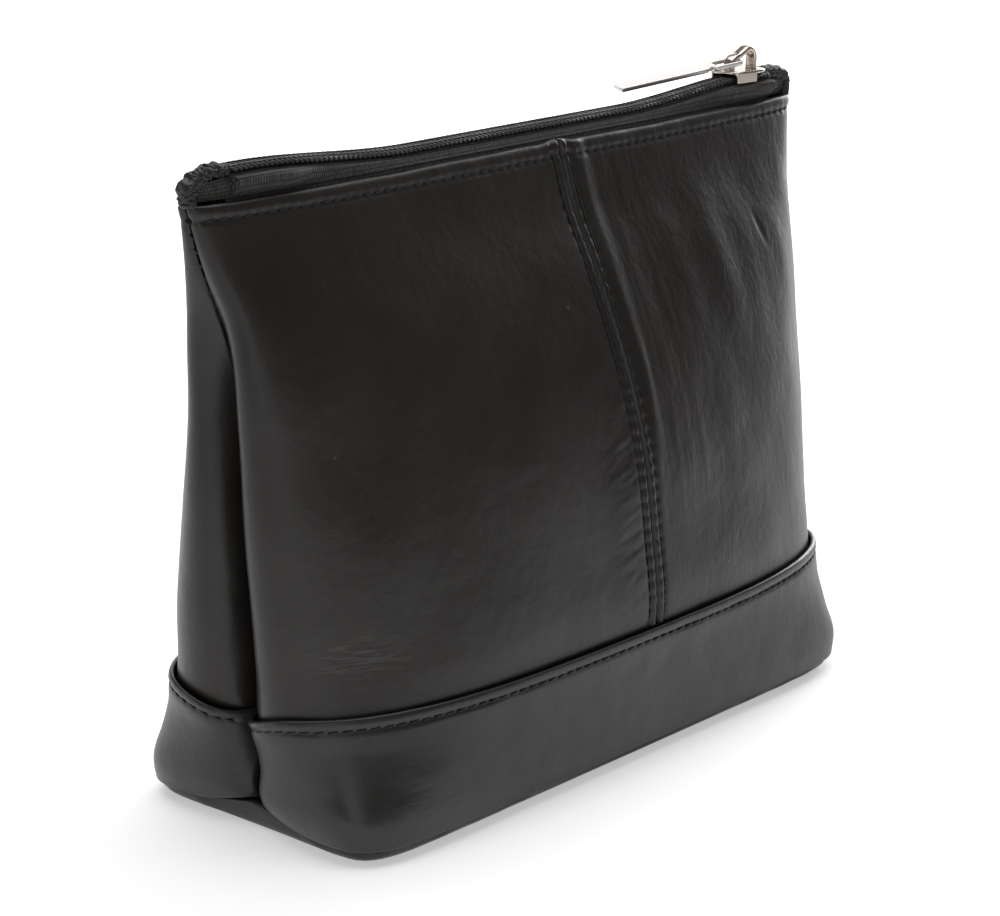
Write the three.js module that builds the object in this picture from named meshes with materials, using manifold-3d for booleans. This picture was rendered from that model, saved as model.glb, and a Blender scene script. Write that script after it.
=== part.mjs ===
// A leather cosmetic bag: bulging front and back walls over a flat base, a lapped band round
// the foot, a fabric lining, and a coil zip across the mouth with a metal slider and pull tab.
// Millimetres, +Z up, the origin on the ground under the middle of the base, the front at -Y.

import * as THREE from 'three';
import Module from 'manifold-3d';
import { mergeVertices } from 'three/addons/utils/BufferGeometryUtils.js';

const wasm = await Module();
wasm.setup();

// Bag body
const mouthWidth = 206;
const leatherHeight = 140.3;
const bodyDepth = 76;
const leatherThickness = 1.2;
const hemFold = 0.8;
const hemDepth = 10;
const hemStep = 0.3;
const seamGap = 0.3;
const squareReach = 3.6;
const layerGap = 0.3;
const frontSeamPlace = 6.5;
const valleyReach = 5;
const valleyDepthShare = 0.3;

// Foot of the bag
const footHeight = 3.6;
const bandHeight = 32;
const bandDip = 4.5;
const bandDipReach = 12;
const bandLap = 8;
const bandGap = 0.5;
const baseWidth = 173.2;
const baseDepth = 71;
const baseRoll = 2.9;
const baseSquareness = 12;
const boardThickness = 1.6;
const boardMargin = 2.4;

// Lining
const liningThickness = 0.5;
const liningGap = 1.1;
const liningTopDrop = 2.4;

// Zip chain and tape
const chainLift = 3.2;
const chainEndRise = 2.8;
const chainEndMargin = 11.5;
const riseStart = 36;
const riseEnd = 87;
const toothPitch = 1.45;
const toothRootWidth = 0.34;
const toothHeadWidth = 0.48;
const toothReach = 0.7;
const coilHalfWidth = 3;
const coilCordWidth = 1;
const coilHeight = 1.6;
const tapeThickness = 0.4;
const tapeEdge = 0.6;
const tapeSewnDepth = 9;
const tapeClearance = 0.3;
const partingReach = 58;

// Slider
const sliderLength = 12.4;
const sliderRearWidth = 8.2;
const sliderNoseWidth = 11;
const sliderRearRadius = 1.6;
const sliderNoseRadius = 4.5;
const plateThickness = 0.9;
const flangeThickness = 0.5;
const flangeDrop = 2.35;
const channelClearance = 0.3;
const postLength = 3.2;
const postWidth = 0.8;
const postSetback = 0.5;
const noseSpread = 1.3;
const sliderEndGap = 1.6;

// Bridge of the slider
const bridgeWidth = 2;
const bridgeHeight = 4.9;
const bridgeLength = 9.5;
const bridgeBar = 1;
const bridgeForward = 0.45;

// Pull tab
const pullLength = 31.4;
const pullWidth = 8;
const pullThickness = 1.1;
const pullPivotSetback = 0.5;
const pullPivotRise = 1.7;
const pullDroop = 11;
const pullSwing = 36;
const eyeReach = 6.1;
const eyeHalfWidth = 3.2;
const eyeWall = 0.8;
const eyeBar = 1.1;
const neckWidth = 5;
const neckLength = 1.8;
const pullCornerRadius = 0.9;

// Tape ends
const endThickness = 2.6;
const endWidth = 5.2;
const endOverhang = 0.2;

const weldDistance = 1e-4;

const leatherLook = { color: 0x242220, roughness: 0.42, metalness: 0 };
const bandLook = { color: 0x2b2928, roughness: 0.45, metalness: 0 };
const liningLook = { color: 0x191919, roughness: 0.8, metalness: 0 };
const tapeLook = { color: 0x1c1b1a, roughness: 0.85, metalness: 0 };
const coilLook = { color: 0x2a2929, roughness: 0.5, metalness: 0 };
const boardLook = { color: 0x6f6a60, roughness: 0.9, metalness: 0 };
const nickelLook = { color: 0xc9c2b8, roughness: 0.22, metalness: 1 };

// The wall of the bag at several heights: height share of the leather, half depth share of the
// body, side lobe share and side seam share of half the mouth, and how square the plan is.
const wallShares = [
  [0.025, 0.945, 0.843, 0.818, 10],
  [0.064, 0.963, 0.863, 0.819, 7.9],
  [0.114, 0.965, 0.869, 0.801, 5.5],
  [0.164, 0.970, 0.886, 0.799, 4.0],
  [0.214, 0.990, 0.911, 0.804, 3.2],
  [0.285, 1.000, 0.924, 0.808, 2.8],
  [0.371, 0.957, 0.934, 0.817, 2.7],
  [0.500, 0.876, 0.942, 0.840, 2.6],
  [0.650, 0.718, 0.948, 0.870, 2.7],
  [0.800, 0.484, 0.951, 0.913, 3.3],
  [0.900, 0.305, 0.970, 0.955, 3.5],
  [1.000, 0.1735, 1.000, 1.000, 3.3],
];

// Levels of the band, as shares of its height. They lie closer together near the base seam.
const bandLevelShares = [0, 0.06, 0.17, 0.33, 0.52, 0.75, 1];

// Middle line of a zip end: share of the way out to the turn, and drop as a share of the
// end's thickness.
const endPathShares = [[0, 0], [0.55, 0.05], [0.9, 0.5], [1.04, 1.2]];

// Middle line of the slider's bridge, from its rear foot to its nose foot: share of half its
// length, and share of its height.
const bridgeLineShares = [
  [-1, 0],
  [-1, 0.32],
  [-0.8, 0.56],
  [-0.35, 0.68],
  [0.1, 0.86],
  [0.5, 1],
  [0.86, 0.86],
  [1, 0.55],
  [1, 0],
];

const group = new THREE.Group();

function addMesh(parent, name, geometry, look) {
  const mesh = new THREE.Mesh(geometry, new THREE.MeshStandardMaterial(look));
  mesh.name = name;
  parent.add(mesh);
  return mesh;
}

function smoothStep(share) {
  const held = Math.min(Math.max(share, 0), 1);
  return held * held * (3 - 2 * held);
}

// Smooth curve through one column of the wall table.
function wallValue(height, column) {
  const share = height / leatherHeight;
  let row = 1;
  while (row < wallShares.length - 1 && wallShares[row][0] < share) {
    row += 1;
  }
  const before = wallShares[Math.max(row - 2, 0)];
  const low = wallShares[row - 1];
  const high = wallShares[row];
  const after = wallShares[Math.min(row + 1, wallShares.length - 1)];
  const span = high[0] - low[0];
  const lowSlope = (high[column] - before[column]) / (high[0] - before[0]);
  const highSlope = (after[column] - low[column]) / (after[0] - low[0]);
  const t = (share - low[0]) / span;
  const rise = high[column] - low[column];
  const cubic = t * (1 - t) * ((1 - t) * (lowSlope * span - rise) - t * (highSlope * span - rise));
  return low[column] + rise * t + cubic;
}

// Plan of the front half at one height, as a fine run of points from the left side seam to
// the right one. A squared ellipse gives the bulge, and a valley sinks in at each side seam.
function frontPlan(height) {
  const halfDepth = wallValue(height, 1) * bodyDepth / 2;
  const lobe = wallValue(height, 2) * mouthWidth / 2;
  const seam = wallValue(height, 3) * mouthWidth / 2;
  const square = wallValue(height, 4);
  const reach = Math.min(valleyReach, valleyDepthShare * halfDepth);
  const sideSteps = 60;
  const frontSteps = 70;
  const corner = 0.5 ** (1 / square);
  const quarter = [];
  for (let i = 0; i < sideSteps; i += 1) {
    const y = halfDepth * corner * i / sideSteps;
    quarter.push([lobe * (1 - (y / halfDepth) ** square) ** (1 / square), y]);
  }
  for (let i = 0; i <= frontSteps; i += 1) {
    const x = lobe * corner * (1 - i / frontSteps);
    quarter.push([x, halfDepth * (1 - (x / lobe) ** square) ** (1 / square)]);
  }
  const sunk = Math.max(lobe - seam, 0);
  const pressed = quarter.map(([x, y]) => [x - sunk * Math.exp(-y / reach), y]);
  const left = pressed.map(([x, y]) => new THREE.Vector2(-x, -y));
  const right = pressed.slice(0, -1).reverse().map(([x, y]) => new THREE.Vector2(x, -y));
  return left.concat(right);
}

// The same plan moved inwards by an inset, or outwards by a negative one.
function insetPlan(height, inset) {
  const plan = frontPlan(height);
  return plan.map((point, i) => {
    const before = plan[Math.max(i - 1, 0)];
    const after = plan[Math.min(i + 1, plan.length - 1)];
    const along = after.clone().sub(before).normalize();
    return new THREE.Vector2(point.x - along.y * inset, point.y + along.x * inset);
  });
}

// Walk from the middle of a plan to one side, as far as the seam plane.
function walkPlan(plan, step) {
  const kept = [];
  const stop = -seamGap / 2;
  for (let i = (plan.length - 1) / 2; i >= 0 && i < plan.length; i += step) {
    const point = plan[i];
    if (point.y > stop) {
      const last = kept[kept.length - 1];
      kept.push(last.clone().lerp(point, (stop - last.y) / (point.y - last.y)));
      return kept;
    }
    kept.push(point.clone());
  }
  return kept;
}

// Keep the part of a run between two limits in x.
function trimmed(run, from, to) {
  const kept = [];
  run.forEach((point, i) => {
    const before = run[Math.max(i - 1, 0)];
    [from, to].forEach((limit) => {
      if ((before.x - limit) * (point.x - limit) < 0) {
        kept.push(before.clone().lerp(point, (limit - before.x) / (point.x - before.x)));
      }
    });
    if (point.x >= from && point.x <= to) {
      kept.push(point);
    }
  });
  return kept;
}

// Points at even shares along a run, crowded towards the ends that are named.
function spread(run, count, crowding) {
  const lengths = [0];
  for (let i = 1; i < run.length; i += 1) {
    lengths.push(lengths[i - 1] + run[i].distanceTo(run[i - 1]));
  }
  const total = lengths[lengths.length - 1];
  const points = [];
  let place = 1;
  for (let i = 0; i < count; i += 1) {
    const even = i / (count - 1);
    const shares = {
      both: 0.5 - 0.5 * Math.cos(Math.PI * even),
      start: 1 - Math.cos(Math.PI * even / 2),
      end: Math.sin(Math.PI * even / 2),
      none: even,
    };
    const target = total * shares[crowding];
    while (place < run.length - 1 && lengths[place] < target) {
      place += 1;
    }
    const span = lengths[place] - lengths[place - 1];
    points.push(run[place - 1].clone().lerp(run[place], (target - lengths[place - 1]) / span));
  }
  return points;
}

// One line of a shell: the wall's plan at a height, inset, between two limits in x.
function wallLine(height, inset, from, to, count, crowding) {
  const plan = insetPlan(height, inset);
  const left = walkPlan(plan, -1).reverse();
  const right = walkPlan(plan, 1).slice(1);
  return spread(trimmed(left.concat(right), from, to), count, crowding);
}

// Loft through closed rings. Point i of a ring faces point n - 1 - i across it, so the two
// ends are closed by strips between such pairs, and the faces of such pairs are cut alike.
function loft(rings) {
  const count = rings[0].length;
  const positions = rings.flat().flatMap((point) => [point.x, point.y, point.z]);
  const triangles = [];
  const quad = (a, b, c, d) => triangles.push(a, b, c, a, c, d);
  for (let row = 0; row + 1 < rings.length; row += 1) {
    for (let i = 0; i < count; i += 1) {
      const next = (i + 1) % count;
      const low = row * count;
      const high = low + count;
      if (i < count / 2) {
        quad(low + i, low + next, high + next, high + i);
      } else {
        quad(low + next, high + next, high + i, low + i);
      }
    }
  }
  const top = (rings.length - 1) * count;
  for (let i = 0; i < count / 2 - 1; i += 1) {
    quad(i, count - 1 - i, count - 2 - i, i + 1);
    quad(top + i, top + i + 1, top + count - 2 - i, top + count - 1 - i);
  }
  return outward(solid(positions, triangles));
}

function solid(positions, triangles) {
  const geometry = new THREE.BufferGeometry();
  geometry.setAttribute('position', new THREE.Float32BufferAttribute(positions, 3));
  geometry.setIndex(triangles);
  return geometry;
}

// Turn a closed solid's faces outwards, going by the sign of its volume.
function outward(geometry) {
  const place = geometry.getAttribute('position');
  const index = geometry.getIndex();
  const corners = [new THREE.Vector3(), new THREE.Vector3(), new THREE.Vector3()];
  let volume = 0;
  for (let i = 0; i < index.count; i += 3) {
    corners.forEach((corner, k) => corner.fromBufferAttribute(place, index.getX(i + k)));
    volume += corners[0].dot(corners[1].clone().cross(corners[2]));
  }
  if (volume < 0) {
    for (let i = 0; i < index.count; i += 3) {
      const second = index.getX(i + 1);
      index.setX(i + 1, index.getX(i + 2));
      index.setX(i + 2, second);
    }
  }
  geometry.computeVertexNormals();
  return geometry;
}

// The back of the bag is the front's mirror image.
function mirrored(geometry) {
  return outward(geometry.clone().scale(1, -1, 1));
}

// The inner face of one line of a shell. It stands square behind the outer face, but at its
// ends and beside the side seams it follows its own plan, and so ends at the seam plane.
function innerLine(outside, own, thickness) {
  return outside.map((point, i) => {
    const before = outside[i - 1];
    const after = outside[i + 1];
    if (!before || !after || point.y > -squareReach) {
      return own[i];
    }
    const along = after.clone().sub(before).normalize();
    return new THREE.Vector2(point.x - along.y * thickness, point.y + along.x * thickness);
  });
}

// A curved wall of one layer. Each level has a height and the insets of its two faces, and
// the dip lowers it at some places.
function wallShell(levels, from, to, count, crowding, dip = () => 0) {
  const lift = (line, height) => line.map((point) => {
    return new THREE.Vector3(point.x, point.y, height - dip(point.y, height));
  });
  const rings = levels.map(([height, outer, inner]) => {
    const outside = wallLine(height, outer, from, to, count, crowding);
    const own = wallLine(height, inner, from, to, count, crowding);
    const inside = innerLine(outside, own, inner - outer);
    return lift(outside, height).concat(lift(inside, height).reverse());
  });
  return loft(rings);
}

function steps(from, to, count) {
  return Array.from({ length: count + 1 }, (_, i) => from + (to - from) * i / count);
}

// Upper leather. Its top edge is turned in, so the wall is thicker down to the hem's edge.
const panelFoot = bandHeight - bandLap;
const hemEdge = leatherHeight - hemDepth;
const hemThickness = leatherThickness + hemFold;
const bodyLevels = steps(panelFoot, hemEdge - hemStep, 7).map((z) => [z, 0, leatherThickness]);
const hemLevels = steps(hemEdge, leatherHeight, 2).map((z) => [z, 0, hemThickness]);
const panelLevels = bodyLevels.concat(hemLevels);
const seamLeft = frontSeamPlace - seamGap / 2;
const seamRight = frontSeamPlace + seamGap / 2;
const leftWall = wallShell(panelLevels, -mouthWidth, seamLeft, 19, 'start');
const rightWall = wallShell(panelLevels, seamRight, mouthWidth, 17, 'end');
const wholeWall = wallShell(panelLevels, -mouthWidth, mouthWidth, 33, 'both');
addMesh(group, 'front_left_panel', leftWall, leatherLook);
addMesh(group, 'front_right_panel', rightWall, leatherLook);
addMesh(group, 'back_panel', mirrored(wholeWall), leatherLook);

// Band round the foot. Its turned top edge laps over the upper leather and dips towards the
// side seams, and its lower edge stands out over the base.
function bandDipAt(y, height) {
  const share = (height - footHeight) / (bandHeight - footHeight);
  return bandDip * share * Math.exp(-((y / bandDipReach) ** 2));
}
const bandLevels = bandLevelShares.map((share) => {
  return [footHeight + (bandHeight - footHeight) * share, -bandGap - leatherThickness, -bandGap];
});
const band = wallShell(bandLevels, -mouthWidth, mouthWidth, 33, 'both', bandDipAt);
addMesh(group, 'front_band', band, bandLook);
addMesh(group, 'back_band', mirrored(band), bandLook);

// A flat plan with rounded corners for the base, its board and its lining.
function basePlan(halfWidth, halfDepth, height) {
  const turns = 9;
  const corner = 0.5 ** (1 / baseSquareness);
  const quarter = [];
  for (let i = 0; i < turns / 2; i += 1) {
    const y = halfDepth * corner * Math.sin(Math.PI * i / turns);
    quarter.push([halfWidth * (1 - (y / halfDepth) ** baseSquareness) ** (1 / baseSquareness), y]);
  }
  for (let i = 0; i <= turns / 2; i += 1) {
    const x = halfWidth * corner * Math.cos(Math.PI * i / turns);
    quarter.push([x, halfDepth * (1 - (x / halfWidth) ** baseSquareness) ** (1 / baseSquareness)]);
  }
  const front = quarter.slice(1).map(([x, y]) => [-x, -y]);
  front.push(...quarter.slice(1).reverse().map(([x, y]) => [x, -y]));
  const back = front.slice().reverse().map(([x, y]) => [x, -y]);
  return front.concat(back).map(([x, y]) => new THREE.Vector3(x, y, height));
}

// Base leather: a flat sheet whose edge rolls up all round to meet the band.
const rimHeight = footHeight - seamGap;
const rollTurns = [0, 45, 90];
const outerRings = rollTurns.map((turn) => {
  const inward = baseRoll * (1 - Math.sin(THREE.MathUtils.degToRad(turn)));
  const height = baseRoll * (1 - Math.cos(THREE.MathUtils.degToRad(turn)));
  return basePlan(baseWidth / 2 - inward, baseDepth / 2 - inward, height);
});
const rim = [0, leatherThickness].map((inset) => {
  return basePlan(baseWidth / 2 - inset, baseDepth / 2 - inset, rimHeight);
});
const innerRings = rollTurns.slice().reverse().map((turn) => {
  const roll = baseRoll - leatherThickness;
  const inward = leatherThickness + roll * (1 - Math.sin(THREE.MathUtils.degToRad(turn)));
  const height = leatherThickness + roll * (1 - Math.cos(THREE.MathUtils.degToRad(turn)));
  return basePlan(baseWidth / 2 - inward, baseDepth / 2 - inward, height);
});
addMesh(group, 'base_panel', loft([...outerRings, ...rim, ...innerRings]), leatherLook);

// Board that stiffens the base, between its leather and the lining.
const boardFoot = leatherThickness + layerGap;
const boardTop = boardFoot + boardThickness;
const boardHalfWidth = baseWidth / 2 - boardMargin;
const boardHalfDepth = baseDepth / 2 - boardMargin;
const boardRings = [boardFoot, boardTop].map((z) => basePlan(boardHalfWidth, boardHalfDepth, z));
addMesh(group, 'base_board', loft(boardRings), boardLook);

// Lining: a floor on the board, and a front and a back wall that stand on its edge.
const liningFoot = boardTop + layerGap;
const liningWallFoot = Math.max(liningFoot + liningThickness, footHeight) + layerGap;
const floorLevels = [liningFoot, liningFoot + liningThickness];
const floorRings = floorLevels.map((z) => basePlan(boardHalfWidth, boardHalfDepth, z));
addMesh(group, 'lining_base', loft(floorRings), liningLook);
const liningInset = leatherThickness + liningGap;
const hemLiningInset = hemThickness + layerGap + tapeThickness + layerGap;
const underBand = steps(liningWallFoot, panelFoot, 3).slice(0, -1);
const behindPanel = bodyLevels.slice(0, -1).filter((level, i) => i % 2 === 0).map(([z]) => z);
const liningTurn = hemEdge - layerGap - hemStep;
const liningLow = [...underBand, ...behindPanel].map((z) => {
  return [z, liningInset, liningInset + liningThickness];
});
const liningHigh = steps(liningTurn, leatherHeight - liningTopDrop, 2).map((z) => {
  return [z, hemLiningInset, hemLiningInset + liningThickness];
});
const lining = wallShell(liningLow.concat(liningHigh), -mouthWidth, mouthWidth, 25, 'both');
addMesh(group, 'lining_front', lining, liningLook);
addMesh(group, 'lining_back', mirrored(lining), liningLook);

// Height of the chain along the mouth: level in the middle, lifted at both ends.
function chainAt(x) {
  const risen = smoothStep((Math.abs(x) - riseStart) / (riseEnd - riseStart));
  return leatherHeight + chainLift + chainEndRise * risen;
}

const chainEnd = mouthWidth / 2 - chainEndMargin;
const sliderHome = chainEnd - sliderEndGap - sliderLength / 2;

// Right of the slider the two rows of teeth part to pass round its post.
function rowSpread(x) {
  return noseSpread * smoothStep((x - sliderHome + sliderLength / 30) / (sliderLength / 4));
}

// Sewn part of the tape, between the turned leather edge and the lining.
const tapeInset = hemThickness + layerGap;
const tapeLevels = steps(leatherHeight - tapeSewnDepth, leatherHeight, 2).map((z) => {
  return [z, tapeInset, tapeInset + tapeThickness];
});
const sewnTape = wallShell(tapeLevels, -chainEnd, chainEnd, 25, 'none');
addMesh(group, 'zip_tape_front', sewnTape, tapeLook);
addMesh(group, 'zip_tape_back', mirrored(sewnTape), tapeLook);

// How firmly the slider holds the tape at a place along the chain, from 0 to 1.
function heldAt(x) {
  const along = Math.abs(x - sliderHome) - sliderLength / 2;
  return 1 - smoothStep(along / sliderLength);
}

// Width that the tape lies flat under the coil: wider where the slider holds it.
function flatReach(x) {
  const noseShare = Math.min(Math.max((x - sliderHome) / sliderLength + 0.5, 0), 1);
  const sliderHalf = (sliderRearWidth + (sliderNoseWidth - sliderRearWidth) * noseShare) / 2;
  return coilHalfWidth + tapeClearance + (sliderHalf + tapeClearance - coilHalfWidth) * heldAt(x);
}

// Free part of the tape: up from the leather edge, then flat under the coil. Beside the
// slider it hangs straight down past the lower plate before it turns in.
const foldInset = tapeInset + tapeThickness / 2;
const foldHeight = leatherHeight + layerGap;
const plateDrop = channelClearance + plateThickness + tapeClearance;
function tapeStretch(from, to, count) {
  const fold = wallLine(leatherHeight, foldInset, from, to, count, 'none');
  return loft(fold.map((point) => {
    const x = point.x;
    const top = chainAt(x) - coilHeight / 2 - layerGap;
    const edge = tapeEdge + rowSpread(x);
    const reach = flatReach(x);
    const bend = new THREE.Vector2((point.y - reach) / 2, (foldHeight + top) / 2);
    bend.lerp(new THREE.Vector2(-reach, top - tapeThickness - plateDrop), heldAt(x));
    const half = tapeThickness / 2;
    const section = [
      [point.y - half, foldHeight],
      [bend.x - half, bend.y],
      [-reach - half, top],
      [-edge, top],
      [-edge, top - tapeThickness],
      [-reach + half, top - tapeThickness],
      [bend.x + half, bend.y],
      [point.y + half, foldHeight],
    ];
    return section.map(([y, z]) => new THREE.Vector3(x, y, z));
  }));
}

// Extrude a flat patch of polygons between two heights. Walls rise on the edges that only
// one polygon has.
function patchSolid(corners, polygons, lowAt, highAt) {
  const count = corners.length;
  const positions = corners.flatMap(([x, y]) => [x, y, lowAt(x)]);
  positions.push(...corners.flatMap(([x, y]) => [x, y, highAt(x)]));
  const turned = polygons.map((polygon) => {
    const area = THREE.ShapeUtils.area(polygon.map((i) => new THREE.Vector2(...corners[i])));
    return area > 0 ? polygon : polygon.slice().reverse();
  });
  const edges = new Set();
  turned.forEach((polygon) => {
    polygon.forEach((a, i) => edges.add(`${a},${polygon[(i + 1) % polygon.length]}`));
  });
  const triangles = [];
  turned.forEach((polygon) => {
    for (let i = 1; i + 1 < polygon.length; i += 1) {
      triangles.push(polygon[0] + count, polygon[i] + count, polygon[i + 1] + count);
      triangles.push(polygon[0], polygon[i + 1], polygon[i]);
    }
    polygon.forEach((a, i) => {
      const b = polygon[(i + 1) % polygon.length];
      if (!edges.has(`${b},${a}`)) {
        triangles.push(a, b, b + count, a, b + count, a + count);
      }
    });
  });
  return outward(solid(positions, triangles));
}

// One row of zip teeth on its cord. Each tooth widens towards its head, so that it locks
// between two teeth of the other row, which stands half a pitch further on.
function toothRow(from, to, shift) {
  const corners = [];
  const polygons = [];
  const add = (x, y) => corners.push([x, y - rowSpread(x)]) - 1;
  const first = Math.ceil((from + toothPitch / 2) / toothPitch - shift);
  const last = Math.floor((to - toothPitch / 2) / toothPitch - shift);
  const inner = -coilHalfWidth + coilCordWidth;
  let outerBefore = add(from, -coilHalfWidth);
  let innerBefore = add(from, inner);
  for (let tooth = first; tooth <= last; tooth += 1) {
    const x = (tooth + shift) * toothPitch;
    const outer = tooth % 2 === 0 ? add(x, -coilHalfWidth) : outerBefore;
    const rootStart = add(x - toothRootWidth / 2, inner);
    const rootEnd = add(x + toothRootWidth / 2, inner);
    const headStart = add(x - toothHeadWidth / 2, toothReach);
    const headEnd = add(x + toothHeadWidth / 2, toothReach);
    if (outer !== outerBefore) {
      polygons.push([outerBefore, outer, innerBefore]);
    }
    polygons.push([outer, rootStart, innerBefore]);
    polygons.push([outer, rootEnd, rootStart]);
    polygons.push([rootStart, rootEnd, headEnd, headStart]);
    outerBefore = outer;
    innerBefore = rootEnd;
  }
  polygons.push([outerBefore, add(to, -coilHalfWidth), add(to, inner), innerBefore]);
  const low = (x) => chainAt(x) - coilHeight / 2;
  const high = (x) => chainAt(x) + coilHeight / 2;
  return patchSolid(corners, polygons, low, high);
}

// Each side of the zip in three stretches: the two ends stay with the bag, and the middle
// folds away when the zip is open.
const stretches = [
  ['left', -chainEnd, -partingReach - seamGap / 2, 12],
  ['mid', -partingReach + seamGap / 2, partingReach - seamGap / 2, 12],
  ['right', partingReach + seamGap / 2, chainEnd, 16],
];
stretches.forEach(([place, from, to, count]) => {
  const free = tapeStretch(from, to, count);
  addMesh(group, `tape_edge_front_${place}`, free, tapeLook);
  addMesh(group, `tape_edge_back_${place}`, mirrored(free), tapeLook);
  addMesh(group, `coil_front_${place}`, toothRow(from, to, 0), coilLook);
  addMesh(group, `coil_back_${place}`, mirrored(toothRow(from, to, 0.5)), coilLook);
});

// End of the zip: both tapes and coils turned down together and bound round with thread.
function zipEnd(side) {
  const start = chainEnd + seamGap;
  const outerEdge = mouthWidth / 2 - endOverhang;
  const middle = outerEdge - endThickness / 2;
  const top = chainAt(chainEnd);
  const path = endPathShares.map(([outShare, dropShare]) => {
    return [start + (middle - start) * outShare, top - endThickness * dropShare];
  });
  path.push([middle, leatherHeight + layerGap]);
  const rings = path.map(([x, z], i) => {
    const before = path[Math.max(i - 1, 0)];
    const after = path[Math.min(i + 1, path.length - 1)];
    const along = new THREE.Vector2(after[0] - before[0], after[1] - before[1]).normalize();
    if (i === 0) {
      along.set(1, 0);
    }
    if (i === path.length - 1) {
      along.set(0, -1);
    }
    const ring = [];
    const sides = 10;
    for (let k = 0; k < sides; k += 1) {
      const turn = 2 * Math.PI * (k + 0.5) / sides;
      const across = endWidth / 2 * Math.sin(turn);
      const out = endThickness / 2 * Math.cos(turn);
      ring.push(new THREE.Vector3(side * (x - along.y * out), across, z + along.x * out));
    }
    return ring;
  });
  return loft(rings);
}
addMesh(group, 'zip_end_left', zipEnd(-1), coilLook);
addMesh(group, 'zip_end_right', zipEnd(1), coilLook);

// Outline of a polygon with rounded corners, all of one radius or each of its own. A rounding
// takes less than half of each side.
function roundedShape(points, radius) {
  const sideShare = 0.48;
  const shape = new THREE.Shape();
  const corners = points.map(([x, y]) => new THREE.Vector2(x, y));
  corners.forEach((corner, i) => {
    const before = corners[(i + corners.length - 1) % corners.length];
    const after = corners[(i + 1) % corners.length];
    const shortSide = Math.min(corner.distanceTo(before), corner.distanceTo(after));
    const held = Math.min(Array.isArray(radius) ? radius[i] : radius, shortSide * sideShare);
    const into = corner.clone().add(before.clone().sub(corner).setLength(held));
    const out = corner.clone().add(after.clone().sub(corner).setLength(held));
    if (i === 0) {
      shape.moveTo(into.x, into.y);
    } else {
      shape.lineTo(into.x, into.y);
    }
    shape.quadraticCurveTo(corner.x, corner.y, out.x, out.y);
  });
  shape.closePath();
  return shape;
}

function plate(shape, low, high) {
  const options = { depth: high - low, bevelEnabled: false, curveSegments: 3 };
  return new THREE.ExtrudeGeometry(shape, options).translate(0, 0, low);
}

function toManifold(geometry) {
  const bare = geometry.clone();
  bare.deleteAttribute('normal');
  bare.deleteAttribute('uv');
  const merged = mergeVertices(bare, weldDistance);
  const vertProperties = new Float32Array(merged.getAttribute('position').array);
  const triVerts = new Uint32Array(merged.getIndex().array);
  return new wasm.Manifold(new wasm.Mesh({ numProp: 3, vertProperties, triVerts }));
}

function fused(geometries) {
  const whole = geometries.map(toManifold).reduce((all, next) => all.add(next));
  const made = whole.getMesh();
  return solid(Array.from(made.vertProperties), Array.from(made.triVerts));
}

// Slider body: two plates joined by a post at the nose, with flanges that turn down beside
// the teeth and leave a slot for the tape. It is narrow behind and wide at the nose.
const slider = new THREE.Group();
slider.position.set(sliderHome, 0, chainAt(sliderHome));
group.add(slider);
const coilTop = coilHeight / 2 + channelClearance;
const tapeUnder = -coilHeight / 2 - layerGap - tapeThickness - channelClearance;
const plateTop = coilTop + plateThickness;
const rear = -sliderLength / 2;
const nose = sliderLength / 2;
const sliderPlan = roundedShape([
  [rear, -sliderRearWidth / 2],
  [nose, -sliderNoseWidth / 2],
  [nose, sliderNoseWidth / 2],
  [rear, sliderRearWidth / 2],
], [sliderRearRadius, sliderNoseRadius, sliderNoseRadius, sliderRearRadius]);
const flangeRear = rear + sliderRearRadius;
const flangeNose = nose - sliderNoseRadius;
const flare = (sliderNoseWidth - sliderRearWidth) / 2 / sliderLength;
const halfWidthAt = (x) => sliderRearWidth / 2 + flare * (x - rear);
const flangePlan = (side) => roundedShape([
  [flangeRear, side * (halfWidthAt(flangeRear) - flangeThickness)],
  [flangeRear, side * halfWidthAt(flangeRear)],
  [flangeNose, side * halfWidthAt(flangeNose)],
  [flangeNose, side * (halfWidthAt(flangeNose) - flangeThickness)],
], flangeThickness / 4);
const postNose = nose - postSetback;
const postPlan = roundedShape([
  [postNose - postLength, 0],
  [postNose - postLength / 3, -postWidth / 2],
  [postNose, 0],
  [postNose - postLength / 3, postWidth / 2],
], postWidth / 8);
const halfPlate = plateThickness / 2;
const sliderBody = fused([
  plate(sliderPlan, coilTop, plateTop),
  plate(sliderPlan, tapeUnder - plateThickness, tapeUnder),
  plate(flangePlan(1), plateTop - halfPlate - flangeDrop, coilTop + halfPlate),
  plate(flangePlan(-1), plateTop - halfPlate - flangeDrop, coilTop + halfPlate),
  plate(postPlan, tapeUnder - halfPlate, coilTop + halfPlate),
]);
addMesh(slider, 'slider_body', sliderBody, nickelLook);

// Bridge: a strip bent over the top plate, low behind and high at the nose. Both of its feet
// stand upright.
const bridgeReach = (bridgeLength - bridgeBar) / 2;
const bridgeRise = bridgeHeight - bridgeBar / 2;
const bridgeLine = new THREE.SplineCurve(bridgeLineShares.map(([alongShare, riseShare]) => {
  return new THREE.Vector2(bridgeReach * alongShare, bridgeRise * riseShare);
}));
const bridgeSteps = 18;
const bridgeRings = steps(0, 1, bridgeSteps).map((share) => {
  const point = bridgeLine.getPointAt(share);
  const along = bridgeLine.getTangentAt(share);
  if (share === 0 || share === 1) {
    along.set(0, Math.sign(along.y));
  }
  return [[1, -1], [1, 1], [-1, 1], [-1, -1]].map(([outSide, ySide]) => {
    const out = outSide * bridgeBar / 2;
    return new THREE.Vector3(point.x - along.y * out, ySide * bridgeWidth / 2, point.y + along.x * out);
  });
});
const bridge = loft(bridgeRings);
bridge.translate(bridgeForward, 0, plateTop + layerGap);
addMesh(slider, 'slider_bridge', bridge, nickelLook);

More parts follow.
